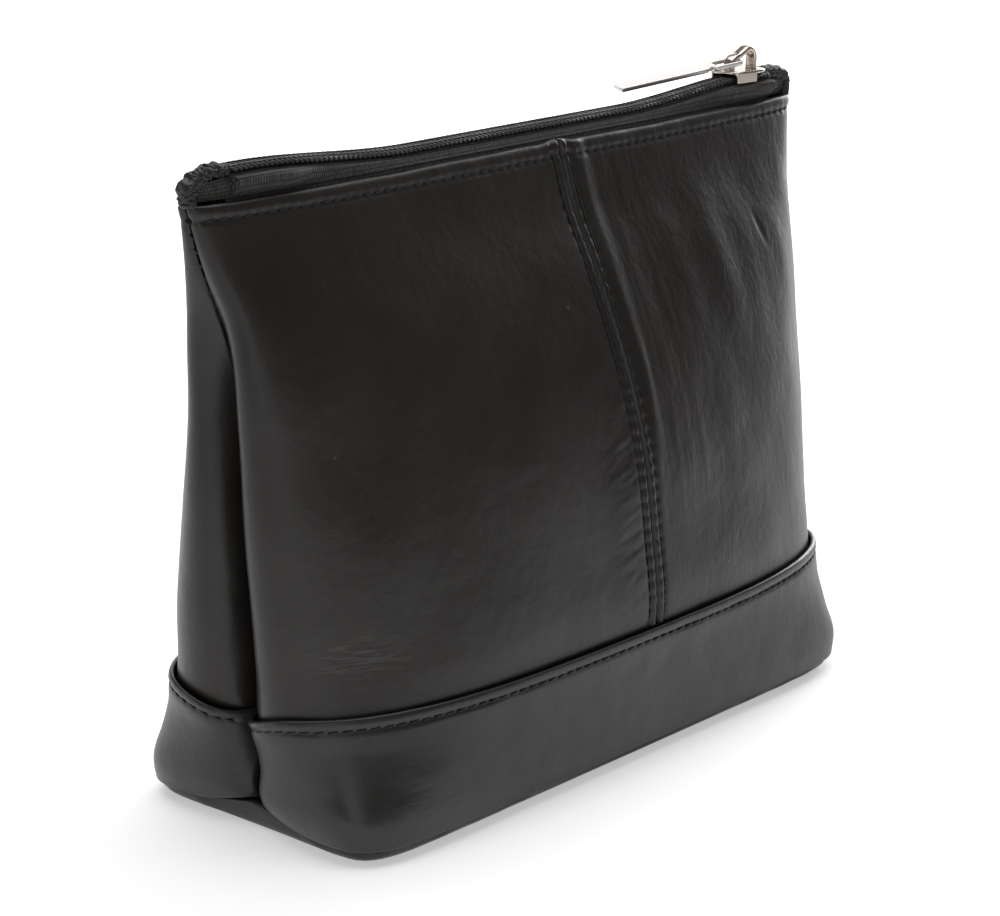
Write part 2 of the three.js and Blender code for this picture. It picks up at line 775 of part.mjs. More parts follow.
// Pull tab: a flat plate with a neck and an eye, whose round end bar turns under the bridge.
// It lies on the slider's plate, swung towards the back.
const pull = new THREE.Group();
pull.position.set(-pullPivotSetback, 0, plateTop + layerGap + pullPivotRise);
const droop = THREE.MathUtils.degToRad(-pullDroop);
const swing = THREE.MathUtils.degToRad(-pullSwing);
pull.rotation.set(0, droop, swing, 'ZYX');
slider.add(pull);
const eyeOuter = eyeHalfWidth + eyeWall;
const eyeEnd = -eyeReach - eyeBar;
const neckEnd = eyeEnd - neckLength;
const tip = -pullLength;
const pullOutline = roundedShape([
  [0, eyeOuter],
  [eyeEnd, eyeOuter],
  [eyeEnd - neckLength / 3, neckWidth / 2],
  [neckEnd + neckLength / 3, neckWidth / 2],
  [neckEnd, pullWidth / 2],
  [tip, pullWidth / 2],
  [tip, -pullWidth / 2],
  [neckEnd, -pullWidth / 2],
  [neckEnd + neckLength / 3, -neckWidth / 2],
  [eyeEnd - neckLength / 3, -neckWidth / 2],
  [eyeEnd, -eyeOuter],
  [0, -eyeOuter],
], pullCornerRadius);
const eyeHole = roundedShape([
  [-eyeBar / 2, eyeHalfWidth],
  [-eyeReach, eyeHalfWidth],
  [-eyeReach, -eyeHalfWidth],
  [-eyeBar / 2, -eyeHalfWidth],
], pullCornerRadius / 2);
pullOutline.holes.push(eyeHole);
const pullPlate = plate(pullOutline, -pullThickness / 2, pullThickness / 2);
const turningBar = new THREE.CylinderGeometry(eyeBar / 2, eyeBar / 2, 2 * eyeOuter, 12);
addMesh(pull, 'pull_tab', fused([pullPlate, turningBar]), nickelLook);

export default group;
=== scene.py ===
# A black leather cosmetic bag with a coil zip, standing on a pale floor in soft daylight.
import math

import bmesh
import bpy
import numpy as np
from mathutils import Matrix, Vector, noise


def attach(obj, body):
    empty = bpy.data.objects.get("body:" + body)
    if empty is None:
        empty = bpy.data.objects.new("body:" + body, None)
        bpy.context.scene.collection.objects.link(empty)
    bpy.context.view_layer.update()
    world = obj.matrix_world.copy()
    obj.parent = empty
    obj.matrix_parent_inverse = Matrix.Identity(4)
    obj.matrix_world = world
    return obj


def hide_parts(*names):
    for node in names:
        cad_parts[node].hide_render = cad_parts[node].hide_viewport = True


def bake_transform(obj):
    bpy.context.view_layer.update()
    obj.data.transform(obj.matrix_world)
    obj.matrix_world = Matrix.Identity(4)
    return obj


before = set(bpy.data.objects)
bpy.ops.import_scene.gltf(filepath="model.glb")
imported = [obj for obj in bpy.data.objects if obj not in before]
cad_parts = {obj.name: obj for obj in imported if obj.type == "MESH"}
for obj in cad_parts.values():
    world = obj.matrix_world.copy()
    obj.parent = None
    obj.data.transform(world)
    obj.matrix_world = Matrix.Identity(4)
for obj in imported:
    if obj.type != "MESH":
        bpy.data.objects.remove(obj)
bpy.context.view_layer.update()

# Camera. It stands off the bag's left front corner, a little above it, and looks through a
# long lens. The picture's centre of view lies a hair left of the image's middle.
VIEW_TURN = math.radians(-48.94)
VIEW_RISE = math.radians(15.94)
VIEW_ROLL = math.radians(0.286)
VIEW_DISTANCE = 0.6681
VIEW_ASIDE = -0.0041
VIEW_HEIGHT = 0.0659
NEAREST_SEEN = 0.01
IMAGE_WIDTH = 1000
FOCAL_PIXELS = 2857.7
CENTRE_PIXEL = 498
SENSOR = 36.0


def new_object(name, data):
    """A new object in the scene."""
    made = bpy.data.objects.new(name, data)
    bpy.context.scene.collection.objects.link(made)
    return made


back_way = Vector((
    math.sin(VIEW_TURN) * math.cos(VIEW_RISE),
    -math.cos(VIEW_TURN) * math.cos(VIEW_RISE),
    math.sin(VIEW_RISE),
))
level_right = Vector((math.cos(VIEW_TURN), math.sin(VIEW_TURN), 0))
level_up = back_way.cross(level_right)
camera_right = math.cos(VIEW_ROLL) * level_right + math.sin(VIEW_ROLL) * level_up
camera_up = -math.sin(VIEW_ROLL) * level_right + math.cos(VIEW_ROLL) * level_up
camera_data = bpy.data.cameras.new("photo_camera")
camera_data.lens = FOCAL_PIXELS * SENSOR / IMAGE_WIDTH
camera_data.sensor_width = SENSOR
camera_data.shift_x = (IMAGE_WIDTH / 2 - CENTRE_PIXEL) / IMAGE_WIDTH
camera_data.clip_start = NEAREST_SEEN
camera = new_object("photo_camera", camera_data)
camera_place = level_right * VIEW_ASIDE + Vector((0, 0, VIEW_HEIGHT)) + back_way * VIEW_DISTANCE
camera_turn = Matrix((camera_right, camera_up, back_way)).transposed().to_4x4()
camera.matrix_world = Matrix.Translation(camera_place) @ camera_turn
bpy.context.scene.camera = camera
bpy.context.scene.view_settings.view_transform = "Standard"


# Floor and light. The floor is flat white paper that glows, nearly white to the camera and darker
# where the leather mirrors it, least so under the bag and at its near corner: the glow that the
# leather mirrors is a painted reflection which lights its lower half. One large lamp hangs over the
# bag and four weaker ones stand round it, for long soft highlights on the leather.
PAPER_GLOW = 0.42
NEAR_CORNER = (-0.13, -0.075, 0)
ROOM_STRENGTH = 0.165
FLOOR_HALF_WIDTH = 3.0
WHITE = (1, 1, 1, 1)
# Name, place, aim, width and height in metres, and power in watts.
LAMPS = (
    ("top_softbox", (0.1, 0.15, 1.3), (0, 0, 0.05), 1.6, 1.2, 14.0),
    ("right_softbox", (1.15, 0.21, 0.4), (0, 0, 0.06), 0.55, 0.7, 8.0),
    ("left_softbox", (-0.9, 0.75, 0.2), (0, 0, 0.02), 0.5, 0.3, 1.0),
    ("front_softbox", (-0.83, -0.72, 0.32), (0, 0, 0.03), 0.5, 0.55, 1.0),
    ("back_softbox", (0.9, 1.05, 0.5), (0, 0, 0.12), 1.3, 0.8, 4.0),
)


def finished(name, bm, material, smooth=True):
    """An object made of a bmesh, with its material and its shading, smooth or flat."""
    mesh = bpy.data.meshes.new(name)
    bm.to_mesh(mesh)
    bm.free()
    mesh.polygons.foreach_set("use_smooth", [smooth] * len(mesh.polygons))
    mesh.materials.append(material)
    return new_object(name, mesh)


def wire(node, inputs):
    """Set a node's inputs to values, or link them to the outputs of other nodes. Its id_data
    is the node tree that it belongs to."""
    for name, value in inputs.items():
        if isinstance(value, bpy.types.NodeSocket):
            node.id_data.links.new(value, node.inputs[name])
        else:
            node.inputs[name].default_value = value
    return node


def add_node(near, kind, inputs):
    """A new node of a kind in the tree of something near, with its inputs set or linked."""
    return wire(near.id_data.nodes.new(kind), inputs)


def node_material(name):
    """A new material with its node tree, its shader and the place of a point in its object."""
    material = bpy.data.materials.new(name)
    material.use_nodes = True
    tree = material.node_tree
    place = tree.nodes.new("ShaderNodeTexCoord").outputs["Object"]
    return material, tree, tree.nodes["Principled BSDF"], place


def ranged(source, source_range, to_range, interpolation="LINEAR"):
    """A value mapped from one range to another."""
    node = add_node(source, "ShaderNodeMapRange", {
        "Value": source, "From Min": source_range[0], "From Max": source_range[1],
        "To Min": to_range[0], "To Max": to_range[1]})
    node.interpolation_type = interpolation
    return node.outputs[0]


def reckoned(operation, first, second):
    """One value made of two."""
    node = add_node(first, "ShaderNodeMath", {0: first, 1: second})
    node.operation = operation
    return node.outputs[0]


def distance_from(place, centre=(0, 0, 0)):
    """How far a place is from a centre."""
    node = add_node(place, "ShaderNodeVectorMath", {0: place, 1: centre})
    node.operation = "DISTANCE"
    return node.outputs["Value"]


def either(share, first, second):
    """Two shaders, the second one seen where the share is 1."""
    inputs = {0: share, 1: first.outputs[0], 2: second.outputs[0]}
    return add_node(share, "ShaderNodeMixShader", inputs).outputs[0]


paper, tree, shader, place = node_material("white_paper")
wire(shader, {
    "Base Color": (0.86, 0.86, 0.86, 1), "Roughness": 0.9, "Specular IOR Level": 0.1})
rays = tree.nodes.new("ShaderNodeLightPath").outputs
# Painted reflection: only glossy rays see this extra glow. It is stronger near the bag and
# strongest at its near corner.
near_bag = ranged(distance_from(place), (0.15, 0.6), (0.34, 0.12), "SMOOTHSTEP")
near_corner = ranged(distance_from(place, NEAR_CORNER), (0.02, 0.12), (0.3, 0.0), "SMOOTHSTEP")
nearness = reckoned("ADD", near_bag, near_corner)
painted_reflection_glow = reckoned("MULTIPLY", nearness, rays["Is Glossy Ray"])
glowing_papers = []
for glow in (painted_reflection_glow, PAPER_GLOW):
    emission = add_node(tree, "ShaderNodeEmission", {"Color": WHITE, "Strength": glow})
    glowing_papers.append(
        add_node(tree, "ShaderNodeAddShader", {0: shader.outputs[0], 1: emission.outputs[0]}))
paper_seen = either(rays["Is Camera Ray"], *glowing_papers)
wire(tree.nodes["Material Output"], {"Surface": paper_seen})
floor_bm = bmesh.new()
bmesh.ops.create_grid(floor_bm, x_segments=1, y_segments=1, size=FLOOR_HALF_WIDTH)
floor = finished("floor", floor_bm, paper, smooth=False)

world = bpy.data.worlds.new("studio")
bpy.context.scene.world = world
world.use_nodes = True
tree = world.node_tree
room = wire(tree.nodes["Background"], {"Color": WHITE, "Strength": ROOM_STRENGTH})
seen = add_node(tree, "ShaderNodeBackground", {"Color": WHITE, "Strength": 1.0})
rays = tree.nodes.new("ShaderNodeLightPath").outputs
wire(tree.nodes["World Output"], {"Surface": either(rays["Is Camera Ray"], room, seen)})

for name, place, aim, width, height, power in LAMPS:
    data = bpy.data.lights.new(name, "AREA")
    data.shape = "RECTANGLE"
    data.size, data.size_y, data.energy = width, height, power
    lamp = new_object(name, data)
    lamp.location = place
    lamp.rotation_euler = (Vector(aim) - Vector(place)).to_track_quat("-Z", "Y").to_euler()


# Front wall. Two pieces of smooth black leather, seamed right of the middle, with the seam
# opened flat and sewn down on both sides. The top edge is turned in and sewn to the zip tape.
MM = 0.001
MOUTH_HALF = 103.0
LEATHER_HEIGHT = 140.3
LEATHER_THICKNESS = 0.7
BODY_HALF_DEPTH = 38.0
LINE_STEPS = 240
SIDE_SEAM_GAP = 0.12
SIDE_TUCK = 0.7
VALLEY_REACH = 5.0
VALLEY_EXTRA = 4.5
SLIT_DEPTH = 3.0
FRONT_SEAM = 6.5
FRONT_SEAM_GAP = 0.05
PANEL_FOOT = 24.0
ROLL_RADIUS = 0.85
HEM_INSIDE = 11.0
SEAM_STITCH = 2.7
SEAM_STITCH_FOOT = 34.0
MOUTH_STITCH_HEIGHT = 137.2
STITCH_LENGTH = 2.4
STITCH_PITCH = 3.05
WORN_SPOT_REACH = (0.014, 0.014, 0.006)
RUBBED_TONE = (0.10, 0.097, 0.092, 1)
# Columns of the wall's shares after the height: half depth, half width where the wall bulges
# most and at the side seam, and the squareness of its corners.
DEPTH, LOBE, SEAM, SQUARENESS = 1, 2, 3, 4
WALL_SHARES = (
    (0.025, 0.945, 0.843, 0.818, 10.0),
    (0.064, 0.963, 0.863, 0.819, 7.9),
    (0.114, 0.965, 0.869, 0.801, 5.5),
    (0.164, 0.970, 0.886, 0.799, 4.0),
    (0.214, 0.990, 0.911, 0.804, 3.2),
    (0.285, 1.000, 0.924, 0.808, 2.8),
    (0.371, 0.957, 0.934, 0.817, 2.7),
    (0.500, 0.876, 0.942, 0.840, 2.6),
    (0.650, 0.718, 0.948, 0.870, 2.7),
    (0.800, 0.484, 0.951, 0.913, 3.3),
    (0.900, 0.305, 0.970, 0.955, 3.5),
    (1.000, 0.1735, 1.000, 1.000, 3.3),
)


def wall_value(height, column):
    """Smooth curve through one column of the wall's shares, at a height in millimetres."""
    share = min(max(height / LEATHER_HEIGHT, WALL_SHARES[0][0]), 1.0)
    row = 1
    while row < len(WALL_SHARES) - 1 and WALL_SHARES[row][0] < share:
        row += 1
    before, low = WALL_SHARES[max(row - 2, 0)], WALL_SHARES[row - 1]
    high, after = WALL_SHARES[row], WALL_SHARES[min(row + 1, len(WALL_SHARES) - 1)]
    span = high[0] - low[0]
    rise = high[column] - low[column]
    low_slope = (high[column] - before[column]) / (high[0] - before[0]) * span - rise
    high_slope = (after[column] - low[column]) / (after[0] - low[0]) * span - rise
    t = (share - low[0]) / span
    return low[column] + rise * t + t * (1 - t) * ((1 - t) * low_slope - t * high_slope)


def wall_line(height, out=0.0):
    """Plan of the front wall at a height, from the left side seam to the right one, moved
    outwards, as (x, y) points with the distance run along them."""
    depth = wall_value(height, DEPTH) * BODY_HALF_DEPTH
    lobe = wall_value(height, LOBE) * MOUTH_HALF
    seam = wall_value(height, SEAM) * MOUTH_HALF
    square = wall_value(height, SQUARENESS)
    corner = 0.5 ** (1 / square)
    side_y = np.linspace(0, depth * corner, LINE_STEPS, endpoint=False)
    side_x = lobe * (1 - (side_y / depth) ** square) ** (1 / square)
    front_x = np.linspace(lobe * corner, 0, LINE_STEPS)
    front_y = depth * (1 - (front_x / lobe) ** square) ** (1 / square)
    x = np.concatenate((side_x, front_x))
    y = np.concatenate((side_y, front_y))
    x = x - max(lobe - seam, 0) * np.exp(-y / min(VALLEY_REACH, 0.3 * depth))
    x = np.concatenate((-x, x[-2::-1]))
    y = np.concatenate((-y, -y[-2::-1]))
    run_x, run_y = np.gradient(x), np.gradient(y)
    length = np.hypot(run_x, run_y)
    x, y = x + run_y / length * out, y - run_x / length * out
    inside = y <= -SIDE_SEAM_GAP
    x, y = x[inside], y[inside]
    return x, y, run_along(np.stack((x, y), axis=1))


def run_along(points):
    """Distance run from a line's first point to each of its points."""
    steps = np.linalg.norm(np.diff(points, axis=0), axis=1)
    return np.concatenate(([0], np.cumsum(steps)))


def fade(value, low, high):
    """0 below low, 1 above high, and a smooth rise between."""
    t = min(max((value - low) / (high - low), 0.0), 1.0)
    return t * t * (3 - 2 * t)


def between(value, low, full, falling, gone):
    """0 outside low and gone, 1 from full to falling, and smooth slopes between."""
    return fade(value, low, full) * (1 - fade(value, falling, gone))


def ridge(distance, width):
    """1 on a line and less to both sides of it, for a rounded ridge or groove."""
    return math.exp(-(distance / width) ** 2)


def wavy(x, y, z=0.0):
    """Smooth noise about 0, read at a place."""
    return noise.noise(Vector((x, y, z)))


def sheet_piece(name, points, material, flip=False, closed=False):
    """A piece from a grid of points in millimetres, rows going up and columns going right,
    as seen from outside. Its UV map is the distance run along the sheet, in metres. A closed
    grid's last column meets its first."""
    rows, columns = points.shape[:2]
    across = np.linalg.norm(np.diff(points, axis=1), axis=2).mean(axis=0)
    along = np.linalg.norm(np.diff(points, axis=0), axis=2).mean(axis=1)
    u, v = (np.concatenate(([0], np.cumsum(steps))) * MM for steps in (across, along))
    bm = bmesh.new()
    bmesh.ops.create_grid(bm, x_segments=columns - 1, y_segments=rows - 1, size=0.5)
    run = bm.loops.layers.uv.new("run")
    for vert in bm.verts:
        column = round((vert.co.x + 0.5) * (columns - 1))
        row = round((vert.co.y + 0.5) * (rows - 1))
        vert.co = Vector(points[row, column]) * MM
        for loop in vert.link_loops:
            loop[run].uv = (u[column], v[row])
    if flip:
        bmesh.ops.reverse_faces(bm, faces=bm.faces)
    if closed:
        bmesh.ops.remove_doubles(bm, verts=bm.verts, dist=0.00001)
        bmesh.ops.holes_fill(bm, edges=bm.edges, sides=0)
        bmesh.ops.recalc_face_normals(bm, faces=bm.faces)
    return finished(name, bm, material)


def thicken(piece, thickness):
    """Give a sheet its thickness, inwards from the face that shows."""
    wall = piece.modifiers.new("thickness", "SOLIDIFY")
    wall.thickness = thickness * MM
    wall.offset = -1
    return piece


def crowded(count, ends=0.7):
    """Shares from 0 to 1, closer together at both ends."""
    even = np.linspace(0, 1, count)
    return even + (0.5 - 0.5 * np.cos(math.pi * even) - even) * ends


def wall_rows(foot, top, roll_radius, inside, count):
    """Heights and outward moves of a wall's rows: up its face, over the rolled top edge and
    down inside."""
    roll_foot = top - roll_radius
    rows = [(height, 0.0) for height in np.linspace(foot, roll_foot, count)]
    for turn in np.linspace(0, math.pi, 9)[1:]:
        rows.append((roll_foot + roll_radius * math.sin(turn), roll_radius * (math.cos(turn) - 1)))
    rows += [(roll_foot - inside * share, -2 * roll_radius) for share in (0.15, 0.5, 1.0)]
    return rows


def needle_hole(run):
    """How near a place along a row of stitching is to a needle hole, from 0 to 1."""
    turn = (run + (STITCH_PITCH - STITCH_LENGTH) / 2) / STITCH_PITCH
    return (0.5 + 0.5 * math.cos(2 * math.pi * turn)) ** 2


def stitch_groove(from_row, width, hole):
    """Depth of the groove that a row of stitches draws in, deepest at its needle holes."""
    return ridge(from_row, width) * (0.75 + 0.75 * hole)


def front_relief(x, height, aside):
    """How far the front leather stands out of its plain shape: the turned edges, the rows of
    stitching, the creases beside the seam and the slow waves of a soft wall. aside is the
    distance right of the front seam along the leather."""
    from_seam = abs(aside)
    relief = -1.0 * ridge(from_seam, 0.5)
    seam_hole = needle_hole(height - SEAM_STITCH_FOOT)
    relief += 0.28 * ridge(from_seam - 1.4, 0.8) * (1.3 - 0.8 * seam_hole)
    relief -= 0.48 * ridge(from_seam - SEAM_STITCH, 0.55) * (0.75 + 0.6 * seam_hole)
    mouth_hole = needle_hole(aside)
    relief -= 0.36 * stitch_groove(height - MOUTH_STITCH_HEIGHT, 0.6, mouth_hole)
    relief += 0.07 * ridge(height - 138.6, 0.8) * (1.2 - mouth_hole)
    body = between(height, 26, 40, 122, 136)
    relief += 0.9 * body * wavy(x / 34, height / 40, 3.1)
    relief += 0.25 * body * wavy(x / 13, height / 19, 7.7)
    if aside > 0:
        relief += 0.6 * fade(height, 60, 90) * ridge(aside - 5.8, 2.4)
        streaks = between(aside, 3.2, 5, 16, 34) * fade(height, 45, 80)
        streaks *= 1 - 0.6 * fade(height, 96, 126)
        relief += 0.15 * streaks * wavy(aside / 3.4, height / 46, 1.3)
        relief += 0.12 * streaks * wavy(aside / 1.7, height / 22, 5.3)
        folds = fade(aside, 18, 34) * between(height, 50, 75, 118, 134)
        relief += 0.4 * folds * wavy(aside / 10, (height + aside) / 26, 9.2)
        up = (height - 106) / 12
        relief -= 0.3 * between(up, 0, 0.4, 0.6, 1) * ridge(x - 75 + 5 * up, 0.7)
    else:
        pucker = between(-aside, 2.9, 4.0, 7, 16) * between(height, 30, 45, 92, 112)
        relief += 0.16 * pucker * wavy(aside / 7, (height - 0.3 * aside) / 1.6, 2.2)
    return relief + 0.16 * fade(height, 136, 138) * wavy(x / 6, 0.3, 4.4)


def valley_sink(height, from_end):
    """How far a wall is drawn in beside the side seams, further than its plain shape."""
    deep = between(height, 30, 46, 98, 132) * ridge(from_end, 5.5)
    slit = (0.4 + 0.6 * fade(height, 6, 26)) * (1 - fade(height, 34, 40)) * ridge(from_end, 3)
    return VALLEY_EXTRA * deep + SLIT_DEPTH * slit


def edge_hump(height, aside, side):
    """Rise of the top edge, where the front seam crosses it and where it wavers."""
    crossing = 0.8 * ridge(aside, 3.5) if side < 0 else 0.0
    return fade(height, 134, 139.5) * (crossing + 0.35 * wavy(aside / 17, 0.6, 30.0 + side))


def wall_points(rows, relief, side=-1, base_out=0.0, part="whole", dip=None, columns=120):
    """Grid of points of a wall, or of its part left or right of the front seam. side is -1 in
    front and 1 behind, relief moves the points outwards and dip lowers them."""
    shares = crowded(columns)
    points = np.zeros((len(rows), columns, 3))
    for row, (height, out) in enumerate(rows):
        plain_x, plain_y, run = wall_line(height, out + base_out)
        lines = (plain_x, plain_y, np.gradient(plain_x, run), np.gradient(plain_y, run))
        seam_run = np.interp(FRONT_SEAM, plain_x, run)
        start = seam_run + FRONT_SEAM_GAP if part == "right" else 0
        end = seam_run - FRONT_SEAM_GAP if part == "left" else run[-1]
        for column, place in enumerate(start + (end - start) * shares):
            x, y, along_x, along_y = (np.interp(place, run, line) for line in lines)
            length = np.hypot(along_x, along_y)
            from_end = min(place, run[-1] - place)
            move = relief(x, height, place - seam_run) - SIDE_TUCK * ridge(from_end, 0.6)
            move *= 1 - fade(-out, 0.1, 1.2)
            lowered = dip(y, height) if dip else -edge_hump(height, place - seam_run, side)
            sunk = valley_sink(height, from_end)
            points[row, column] = (
                x + along_y / length * move - math.copysign(sunk, x),
                -side * (y - along_x / length * move),
                height - lowered,
            )
    return points


def worn(piece, node, body="bag"):
    """Let a piece stand for a node and ride on its body."""
    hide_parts(node)
    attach(piece, body)


def worn_sheet(name, points, material, thickness, flip=False):
    """A sheet of a thickness, in place of the node of the same name."""
    worn(thicken(sheet_piece(name, points, material, flip), thickness), name)


def mapped(place, location=(0, 0, 0), scale=(1, 1, 1), kind="POINT"):
    """A place moved and scaled."""
    node = add_node(place, "ShaderNodeMapping", {
        "Vector": place, "Location": location, "Scale": scale})
    node.vector_type = kind
    return node.outputs[0]


def clouds(place, scale, detail=2.0, roughness=0.5, distortion=0.0):
    """Cloudy noise, read at a place."""
    return add_node(place, "ShaderNodeTexNoise", {
        "Vector": place, "Scale": scale, "Detail": detail, "Roughness": roughness,
        "Distortion": distortion}).outputs["Fac"]


def cells(place, scale):
    """How far a place is from the middle of its cell, in a scatter of cells."""
    inputs = {"Vector": place, "Scale": scale}
    return add_node(place, "ShaderNodeTexVoronoi", inputs).outputs["Distance"]


def mixed(share, first, second):
    """A colour between two others."""
    node = add_node(share, "ShaderNodeMix", {})
    node.data_type = "RGBA"
    return wire(node, {"Factor": share, "A": first, "B": second}).outputs["Result"]


def bumped(height, strength, distance, below=None):
    """A surface raised by a height, over another bump where there is one."""
    node = add_node(height, "ShaderNodeBump", {
        "Height": height, "Strength": strength, "Distance": distance})
    return wire(node, {"Normal": below} if below else {}).outputs[0]


def leather_material(name, tone, grain_seed, scuffs, creased, worn_spot):
    """Smooth finished leather: near black, with faint pores, fine wrinkles, cloudy gloss, a
    few paler rubbed places and specks, and one spot worn by fine level scratches."""
    material, tree, shader, place = node_material(name)
    moved = mapped(place, location=(grain_seed, grain_seed, 0))
    broad = clouds(moved, 28, detail=3, roughness=0.55)
    paler_tone = (tone[0] * 1.7, tone[1] * 1.6, tone[2] * 1.5, 1)
    colour = mixed(broad, (*tone, 1), paler_tone)

    rubs = clouds(moved, 150, detail=6, roughness=0.7)
    rubbed = ranged(rubs, (0.60, 0.78), (0, scuffs))
    on_spot = mapped(place, worn_spot, WORN_SPOT_REACH, "TEXTURE")
    spot_mask = ranged(distance_from(on_spot), (0.2, 1.1), (1, 0))
    level = mapped(place, scale=(160, 160, 2200))
    scratches = ranged(clouds(level, 1.0, detail=3), (0.48, 0.66), (0, 0.5))
    scratches = reckoned("MULTIPLY", scratches, spot_mask)
    specks = ranged(cells(moved, 75), (0.012, 0.03), (0.9, 0))
    pale_share = reckoned("MAXIMUM", reckoned("MAXIMUM", rubbed, scratches), specks)
    wire(shader, {
        "Base Color": mixed(pale_share, colour, RUBBED_TONE),
        "Roughness": ranged(broad, (0.3, 0.7), (0.34, 0.46)),
        "Specular IOR Level": 0.42,
        "Coat Weight": 0.12,
        "Coat Roughness": 0.22,
    })

    stretched = mapped(moved, scale=(1, 1, 0.4))
    creases = clouds(stretched, 330, detail=4, distortion=1.2)
    creases = ranged(creases, (0.38, 0.58), (0, 1))
    rightwards = add_node(tree, "ShaderNodeSeparateXYZ", {0: place}).outputs["X"]
    crease_mask = ranged(rightwards, (0, 0.02), (0.3 * creased, creased))
    creases = reckoned("MULTIPLY", creases, crease_mask)
    pores = cells(moved, 1500)
    wrinkles = clouds(moved, 420, detail=5, roughness=0.62)
    dents = clouds(moved, 70, detail=3, roughness=0.55)
    surface = bumped(pores, strength=0.25, distance=0.00006)
    surface = bumped(wrinkles, strength=0.3, distance=0.0002, below=surface)
    surface = bumped(dents, strength=0.5, distance=0.0009, below=surface)
    surface = bumped(creases, strength=0.22, distance=0.00014, below=surface)
    wire(shader, {"Normal": surface})
    return material


leather = leather_material(
    "black_leather", (0.0082, 0.0066, 0.0055), grain_seed=0.0, scuffs=0.10, creased=1.0,
    worn_spot=(-0.080, -0.027, 0.044))
front_rows = wall_rows(PANEL_FOOT, LEATHER_HEIGHT, ROLL_RADIUS, HEM_INSIDE, count=190)
for part, columns in (("left", 170), ("right", 150)):
    points = wall_points(front_rows, front_relief, part=part, columns=columns)
    worn_sheet(f"front_{part}_panel", points, leather, LEATHER_THICKNESS)


# Back wall. One piece of the same leather, with no seam, and the same turned top edge.
def back_relief(x, height, aside):
    """The slow waves of the back leather and its row of stitching."""
    body = between(height, 30, 44, 122, 136)
    relief = 0.9 * body * wavy(x / 38, height / 36, 13.1)
    relief += 0.3 * body * wavy(x / 14, height / 17, 15.7)
    relief -= 0.30 * stitch_groove(height - MOUTH_STITCH_HEIGHT, 0.7, needle_hole(aside))
    return relief + 0.15 * fade(height, 136, 138) * wavy(x / 9, 0.3, 8.4)


back_rows = wall_rows(PANEL_FOOT, LEATHER_HEIGHT, ROLL_RADIUS, HEM_INSIDE, count=90)
back_points = wall_points(back_rows, back_relief, side=1, columns=220)
worn_sheet("back_panel", back_points, leather, LEATHER_THICKNESS, flip=True)


# Band round the foot. A strip of leather for each wall, its top edge turned in and lapped
# over the wall with one row of stitching. It dips to the side seams and stands out below.
BAND_FOOT = 3.6
BAND_TOP = 32.0
BAND_OUT = 1.7
BAND_DIP = 4.5
BAND_DIP_REACH = 12.0
BAND_DRAW = 3.4
BAND_ROLL_RADIUS = 0.5
BAND_HEM_INSIDE = 4.0
BAND_THICKNESS = 0.6
BAND_STITCH_DROP = 2.7
SIDES = (("front", -1), ("back", 1))


def band_relief(x, height, aside):
    """The dip at the band's stitching, its puffed edge and a little unevenness."""
    hole = needle_hole(aside)
    relief = -0.36 * stitch_groove(height - BAND_TOP + BAND_STITCH_DROP, 0.6, hole)
    relief += 0.25 * ridge(height - BAND_TOP + 1.2, 0.8) * (1.1 - 0.5 * hole)
    relief += 0.2 * between(height, 5, 9, 20, 27) * wavy(x / 34, height / 30, 64.7)
    return relief + 0.12 * wavy(x / 7, height / 6, 25.1) * fade(height, 5, 8)


def band_dip(y, height):
    """How far a place on the band lies lower beside the side seams, where its top edge dips
    and its lower edge is drawn up."""
    share = min(max((height - BAND_FOOT) / (BAND_TOP - BAND_FOOT), 0), 1)
    return (BAND_DIP * share - BAND_DRAW * (1 - share) ** 2) * ridge(y, BAND_DIP_REACH)


# The band's leather is paler than the walls': painted light that lightens the whole band.
band_leather = leather_material(
    "band_leather", (0.0145, 0.0135, 0.0128), grain_seed=0.83, scuffs=0.06, creased=0.2,
    worn_spot=(-0.068, -0.030, 0.012))
band_rows = [(BAND_FOOT - 0.3, -1.4), (BAND_FOOT - 0.35, -0.6)]
band_rows += wall_rows(BAND_FOOT, BAND_TOP, BAND_ROLL_RADIUS, BAND_HEM_INSIDE, count=70)
for place, side in SIDES:
    points = wall_points(band_rows, band_relief, side, BAND_OUT, dip=band_dip, columns=230)
    worn_sheet(f"{place}_band", points, band_leather, BAND_THICKNESS, flip=side > 0)


# Base. A sheet of the same leather under the board, its edge rolled up all round to the
# seam under the band, so that the bag stands on a flat tray with soft corners.
BASE_HALF_WIDTH = 86.6
BASE_HALF_DEPTH = 35.5
BASE_ROLL = 2.9
BASE_RIM = 3.3
BASE_SQUARENESS = 12.0


def blunted(value, power):
    """A sine or cosine drawn out towards 1 and -1, for a squarer ring."""
    return math.copysign(abs(value) ** power, value)


def evenly(points, count):
    """The same line with its points at even distances."""
    run = run_along(points)
    places = np.linspace(0, run[-1], count)
    return np.stack([np.interp(places, run, axis) for axis in points.T], axis=1)


def base_ring(inward, height, count=240):
    """A ring of evenly spaced points round the base, drawn in from its edge."""
    half_width, half_depth = BASE_HALF_WIDTH - inward, BASE_HALF_DEPTH - inward
    ring = []
    for turn in np.linspace(0, 2 * math.pi, 2000, endpoint=False):
        x, y = (blunted(way(turn), 2 / BASE_SQUARENESS) for way in (math.cos, math.sin))
        drawn = BAND_DRAW * ridge(half_depth * y, BAND_DIP_REACH) if abs(x) > 0.9 else 0
        fold = 0.3 * min(height, 3) * wavy(16 * x, 9 * y, height / 2)
        ring.append((
            (half_width + fold) * x, (half_depth + fold) * y, height * (1 + drawn / BASE_RIM)))
    return evenly(np.array(ring + ring[:1]), count + 1)


